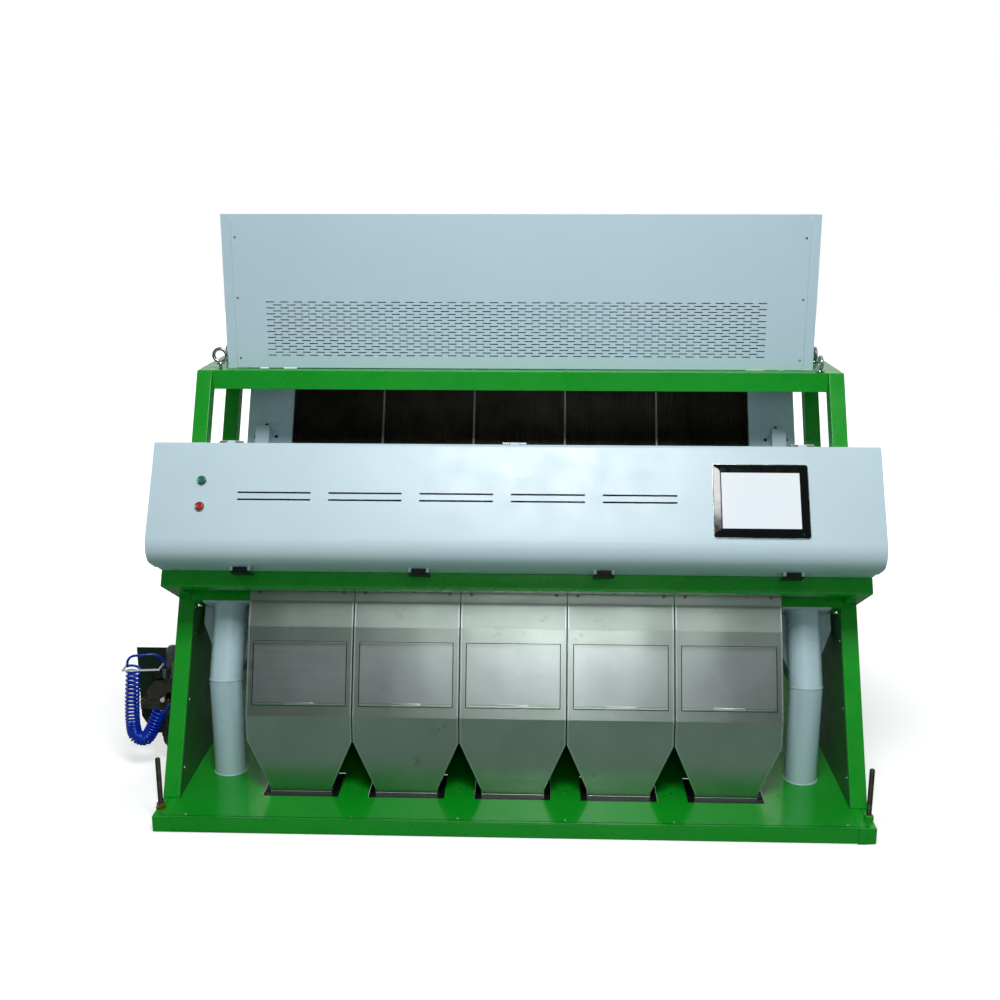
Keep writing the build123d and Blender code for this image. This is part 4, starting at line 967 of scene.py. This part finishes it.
def valve_blocks():
    b = Build()
    low = [(-1.128, yy(0.436), 0.2500), (-1.068, yy(0.436), 0.2500), (-1.068, yy(0.436), 0.3005),
           (-1.128, yy(0.436), 0.3005)]
    b.prism(low, (0, 0.044, 0))
    b.prism([(-1.1870, yy(0.438), 0.2240), (-1.1300, yy(0.438), 0.2240),
             (-1.1130, yy(0.438), 0.2640), (-1.1220, yy(0.438), 0.2900),
             (-1.1600, yy(0.438), 0.2860), (-1.1870, yy(0.438), 0.2520)], (0, 0.042, 0))
    b.box(-1.210, -1.112, yy(0.440), yy(0.480), 0.190, 0.222)
    b.box(-1.208, -1.190, yy(0.434), yy(0.442), 0.196, 0.216)
    b.make("valve_blocks", BRONZE, "machine", "air_filter", bevel=0.0016)
    b = Build()
    for x, z in ((-1.204, 0.2190), (-1.158, 0.2190), (-1.120, 0.2190)):
        screw_head(b, (x, yy(0.4480), z + 0.003), (0, 0, 1), 0.0026)
    for x, z in ((-1.178, 0.2320), (-1.178, 0.2480), (-1.128, 0.2320)):
        screw_head(b, (x, yy(0.4380), z), (0, -1, 0), 0.0022)
    b.make("valve_screws", ZINC, "machine", "air_filter")
    b = Build()
    b.hexagon((-1.132, yy(0.4380), 0.2300), (0, -1, 0), 0.014, 0.006)
    b.cylinder((-1.132, yy(0.4320), 0.2300), (0, -1, 0), 0.0058, 0.005, 20)
    b.make("valve_fitting", BRASS, "machine", "air_filter", bevel=0.0003)
    b = Build()
    b.lathe((-1.132, yy(0.4270), 0.2300), (0, -1, 0), [(0.0070, 0), (0.0074, 0.0010),
                                                       (0.0074, 0.0045), (0.0066, 0.0055)], 24)
    b.make("valve_collar", TIE, "machine", "air_filter")


BRONZE = plastic("bronze_housing", (62, 58, 46), rough=0.45, strength=0.12, vary=0.15)
valve_blocks()


def bowl():
    x = -1.131
    b = Build()
    b.lathe((x, NECK, 0.064), (0, 0, 1),
            [(0.0030, -0.0300), (0.0045, -0.0290), (0.0050, -0.0120), (0.0070, -0.0090),
             (0.0090, -0.0020), (0.0130, 0.0020), (0.0165, 0.0120), (0.0178, 0.0300),
             (0.0186, 0.0900), (0.0190, 0.1060), (0.0205, 0.1080), (0.0205, 0.1180),
             (0.0190, 0.1200), (0.0190, 0.1260)], 36)
    b.make("filter_bowl_drawn", BOWL, "machine", "filter_bowl", angle=45,
           replaces=("filter_bowl",))
    b = Build()
    for k in range(12):
        a = 2 * pi * k / 12
        px, py = x + 0.0190 * cos(a), NECK + 0.0190 * sin(a)
        b.cylinder((px, py, 0.094), (0, 0, 1), 0.0012, 0.060, 6, 0.0003)
    b.lathe((x, NECK, 0.160), (0, 0, 1), [(0.0192, 0), (0.0204, 0.0005), (0.0204, 0.0055),
                                          (0.0192, 0.0060)], 36)
    b.make("bowl_guard", DARK, "machine", "filter_bowl")


bowl()


# Dust pipes, turned smoothly, with their weld seams
def dust_pipes():
    pipe_y, bend_z = yy(0.3095), 0.354
    n = 0.3095 * CL - bend_z * SL
    for side in (-1, 1):
        x = side * 0.89
        bend = Vector((x, pipe_y, bend_z))
        top = lp(n, 0.694, x)
        along = (top - bend).normalized()
        mid_cut = (Vector((0, 0, 1)) + along).normalized()
        b = Build()
        rings = []
        seg = 64
        for radius, inward in ((0.050, False), (0.048, True)):
            row = []
            for centre, axis in ((Vector((x, pipe_y, 0.0505)), Vector((0, 0, 1))), (bend, None),
                                 (top - along * 0.003, along)):
                ring = []
                for k in range(seg):
                    a = 2 * pi * k / seg
                    flat = Vector((x + radius * cos(a), pipe_y + radius * sin(a), 0.0505))
                    if axis is None:
                        t = (bend - flat).dot(mid_cut) / mid_cut.z
                        ring.append(flat + Vector((0, 0, t)))
                    elif axis is along:
                        t = (bend - flat).dot(mid_cut) / mid_cut.z
                        start = flat + Vector((0, 0, t))
                        ring.append(start + along * (top - along * 0.003 - start).dot(along))
                    else:
                        ring.append(flat)
                row.append(ring)
            rings.append(row[::-1] if inward else row)
        b.solid([ring for row in rings for ring in row], loop=True)
        extra = ("dust_pipes",) if side < 0 else ()
        b.make(f"dust_pipe_{'left' if side < 0 else 'right'}", PALE, "machine", "dust_pipes",
               angle=20, replaces=extra)
        b = Build()
        bead = []
        for k in range(seg):
            a = 2 * pi * k / seg
            flat = Vector((x + 0.0500 * cos(a), pipe_y + 0.0500 * sin(a), 0))
            t = (bend - flat).dot(mid_cut) / mid_cut.z
            seat = flat + Vector((0, 0, t))
            out = Vector((cos(a), sin(a), 0))
            bump = 0.0016 + 0.0003 * sin(k * 2.7) + 0.0002 * sin(k * 5.1)
            bead.append([seat + out * bump * cos(m) + mid_cut * bump * 1.3 * sin(m)
                         for m in [2 * pi * q / 6 for q in range(6)]])
        b.solid(bead, loop=True)
        ring = []
        for k in range(seg):
            a = 2 * pi * k / seg
            seat = Vector((x + 0.0503 * cos(a), pipe_y + 0.0503 * sin(a), 0.0512))
            out = Vector((cos(a), sin(a), 0))
            ring.append([seat + out * 0.0020 * cos(m) + Vector((0, 0, 0.0018)) * sin(m)
                         for m in [2 * pi * q / 6 for q in range(6)]])
        b.solid(ring, loop=True)
        b.make(f"pipe_beads_{'left' if side < 0 else 'right'}", PALE, "machine", "dust_pipes",
               angle=60)
        b = Build()
        n0, n1 = n - 0.060, n + 0.060
        b.lean_box(x - 0.075, x + 0.075, n0, n1, 0.688, 0.694)
        b.make(f"pipe_flange_{'left' if side < 0 else 'right'}", PALE, "machine",
               "dust_pipes", bevel=0.0008)


dust_pipes()


# Chutes with their fine grooves
def chutes():
    half = 0.1590
    floor_half = half - 0.0025
    grooves, low_u, high_u, n = 60, 1.020, 1.735, 0.463
    pitch = 2 * floor_half / grooves
    line = [(-half, 0.0059), (-half, -0.0170), (-floor_half, -0.0170), (-floor_half, 0.0)]
    for k in range(grooves):
        a = -floor_half + k * pitch
        line += [(a + pitch * 0.22, 0.0), (a + pitch * 0.36, 0.0013), (a + pitch * 0.5, 0.0018),
                 (a + pitch * 0.64, 0.0013), (a + pitch * 0.78, 0.0)]
    line += [(floor_half, 0.0), (floor_half, -0.0170), (half, -0.0170), (half, 0.0059)]
    b = Build()
    for x in UNIT_X:
        b.solid([[lp(n + dn, u, x + dx) for dx, dn in line] for u in (low_u, high_u)])
    b.make("chutes_drawn", CHUTE, "machine", "chutes", angle=25, replaces=("chutes",))


chutes()


# Floor, lights and camera
def studio():
    mesh = bpy.data.meshes.new("floor")
    size = 14.0
    bm = bmesh.new()
    corners = [(-size, -size), (size, -size), (size, size), (-size, size)]
    bm.faces.new([bm.verts.new((x, y, -0.001)) for x, y in corners])
    bm.to_mesh(mesh)
    bm.free()
    obj = bpy.data.objects.new("floor", mesh)
    bpy.context.scene.collection.objects.link(obj)
    mat = bpy.data.materials.new("floor")
    mat.use_nodes = True
    tree = mat.node_tree
    bsdf = tree.nodes["Principled BSDF"]
    bsdf.inputs["Roughness"].default_value = 0.7
    path = tree.nodes.new("ShaderNodeLightPath")
    mix = tree.nodes.new("ShaderNodeMix")
    mix.data_type = "RGBA"
    mix.inputs[6].default_value = (0.24, 0.32, 0.27, 1)
    mix.inputs[7].default_value = (0.90, 0.90, 0.90, 1)
    tree.links.new(path.outputs["Is Camera Ray"], mix.inputs[0])
    tree.links.new(mix.outputs[2], bsdf.inputs["Base Color"])
    bsdf.inputs["Emission Color"].default_value = (1, 1, 1, 1)
    glow = tree.nodes.new("ShaderNodeMath")
    glow.operation = "MULTIPLY"
    coord = tree.nodes.new("ShaderNodeTexCoord")
    away = tree.nodes.new("ShaderNodeVectorMath")
    away.operation = "LENGTH"
    tree.links.new(coord.outputs["Object"], away.inputs[0])
    fade = tree.nodes.new("ShaderNodeMapRange")
    fade.interpolation_type = "SMOOTHSTEP"
    fade.inputs["From Min"].default_value = 1.2
    fade.inputs["From Max"].default_value = 3.2
    fade.inputs["To Min"].default_value = 0.5
    fade.inputs["To Max"].default_value = 1.05
    tree.links.new(away.outputs["Value"], fade.inputs["Value"])
    tree.links.new(path.outputs["Is Camera Ray"], glow.inputs[0])
    tree.links.new(fade.outputs["Result"], glow.inputs[1])
    tree.links.new(glow.outputs[0], bsdf.inputs["Emission Strength"])
    mesh.materials.append(mat)


studio()

scene = bpy.context.scene
scene.view_settings.view_transform = "Standard"


def world():
    """Pale backdrop behind the object, and a dimmer room on the camera's side."""
    data = bpy.data.worlds.new("studio")
    scene.world = data
    data.use_nodes = True
    tree = data.node_tree
    back = tree.nodes["Background"]
    path = tree.nodes.new("ShaderNodeLightPath")
    coord = tree.nodes.new("ShaderNodeTexCoord")
    split = tree.nodes.new("ShaderNodeSeparateXYZ")
    tree.links.new(coord.outputs["Generated"], split.inputs[0])
    side = tree.nodes.new("ShaderNodeMapRange")
    side.inputs["From Min"].default_value = -0.35
    side.inputs["From Max"].default_value = 0.25
    tree.links.new(split.outputs["Y"], side.inputs["Value"])
    gloss = tree.nodes.new("ShaderNodeMix")
    gloss.data_type = "RGBA"
    gloss.inputs[6].default_value = (0.07, 0.085, 0.08, 1)
    gloss.inputs[7].default_value = (0.85, 0.86, 0.86, 1)
    tree.links.new(side.outputs["Result"], gloss.inputs[0])
    plain = tree.nodes.new("ShaderNodeMix")
    plain.data_type = "RGBA"
    plain.inputs[6].default_value = (0.21, 0.23, 0.24, 1)
    tree.links.new(gloss.outputs[2], plain.inputs[7])
    tree.links.new(path.outputs["Is Glossy Ray"], plain.inputs[0])
    shown = tree.nodes.new("ShaderNodeMath")
    shown.operation = "MAXIMUM"
    tree.links.new(path.outputs["Is Camera Ray"], shown.inputs[0])
    tree.links.new(path.outputs["Is Transmission Ray"], shown.inputs[1])
    mix = tree.nodes.new("ShaderNodeMix")
    mix.data_type = "RGBA"
    mix.inputs[7].default_value = (1, 1, 1, 1)
    tree.links.new(plain.outputs[2], mix.inputs[6])
    tree.links.new(shown.outputs[0], mix.inputs[0])
    tree.links.new(mix.outputs[2], back.inputs["Color"])


world()


def area_light(name, place, target, width, height, power, colour=(1, 1, 1)):
    data = bpy.data.lights.new(name, "AREA")
    data.shape = "RECTANGLE"
    data.size = width
    data.size_y = height
    data.energy = power
    data.color = colour
    obj = bpy.data.objects.new(name, data)
    scene.collection.objects.link(obj)
    obj.location = place
    obj.rotation_euler = (Vector(target) - Vector(place)).to_track_quat("-Z", "Y").to_euler()
    return obj


area_light("key", (0.12, -2.85, 3.95), (0.05, -0.6, 0.80), 1.6, 1.0, 96)
area_light("front", (0.20, -4.5, 2.2), (0.05, -0.4, 0.6), 0.9, 0.7, 12)
area_light("back", (0.0, 4.0, 3.0), (0.0, 0.4, 0.8), 3.0, 2.0, 60)


def camera():
    data = bpy.data.cameras.new("camera")
    data.sensor_width = 36.0
    data.lens = 44.96
    data.clip_end = 100
    obj = bpy.data.objects.new("camera", data)
    scene.collection.objects.link(obj)
    right = Vector((0.99940, 0.03455, 0.0))
    up = Vector((-0.008575, 0.24803, 0.96871))
    back = right.cross(up).normalized()
    obj.matrix_world = Matrix(((right.x, up.x, back.x, 0.08116),
                               (right.y, up.y, back.y, -4.08991),
                               (right.z, up.z, back.z, 1.84923), (0, 0, 0, 1)))
    scene.camera = obj


camera()
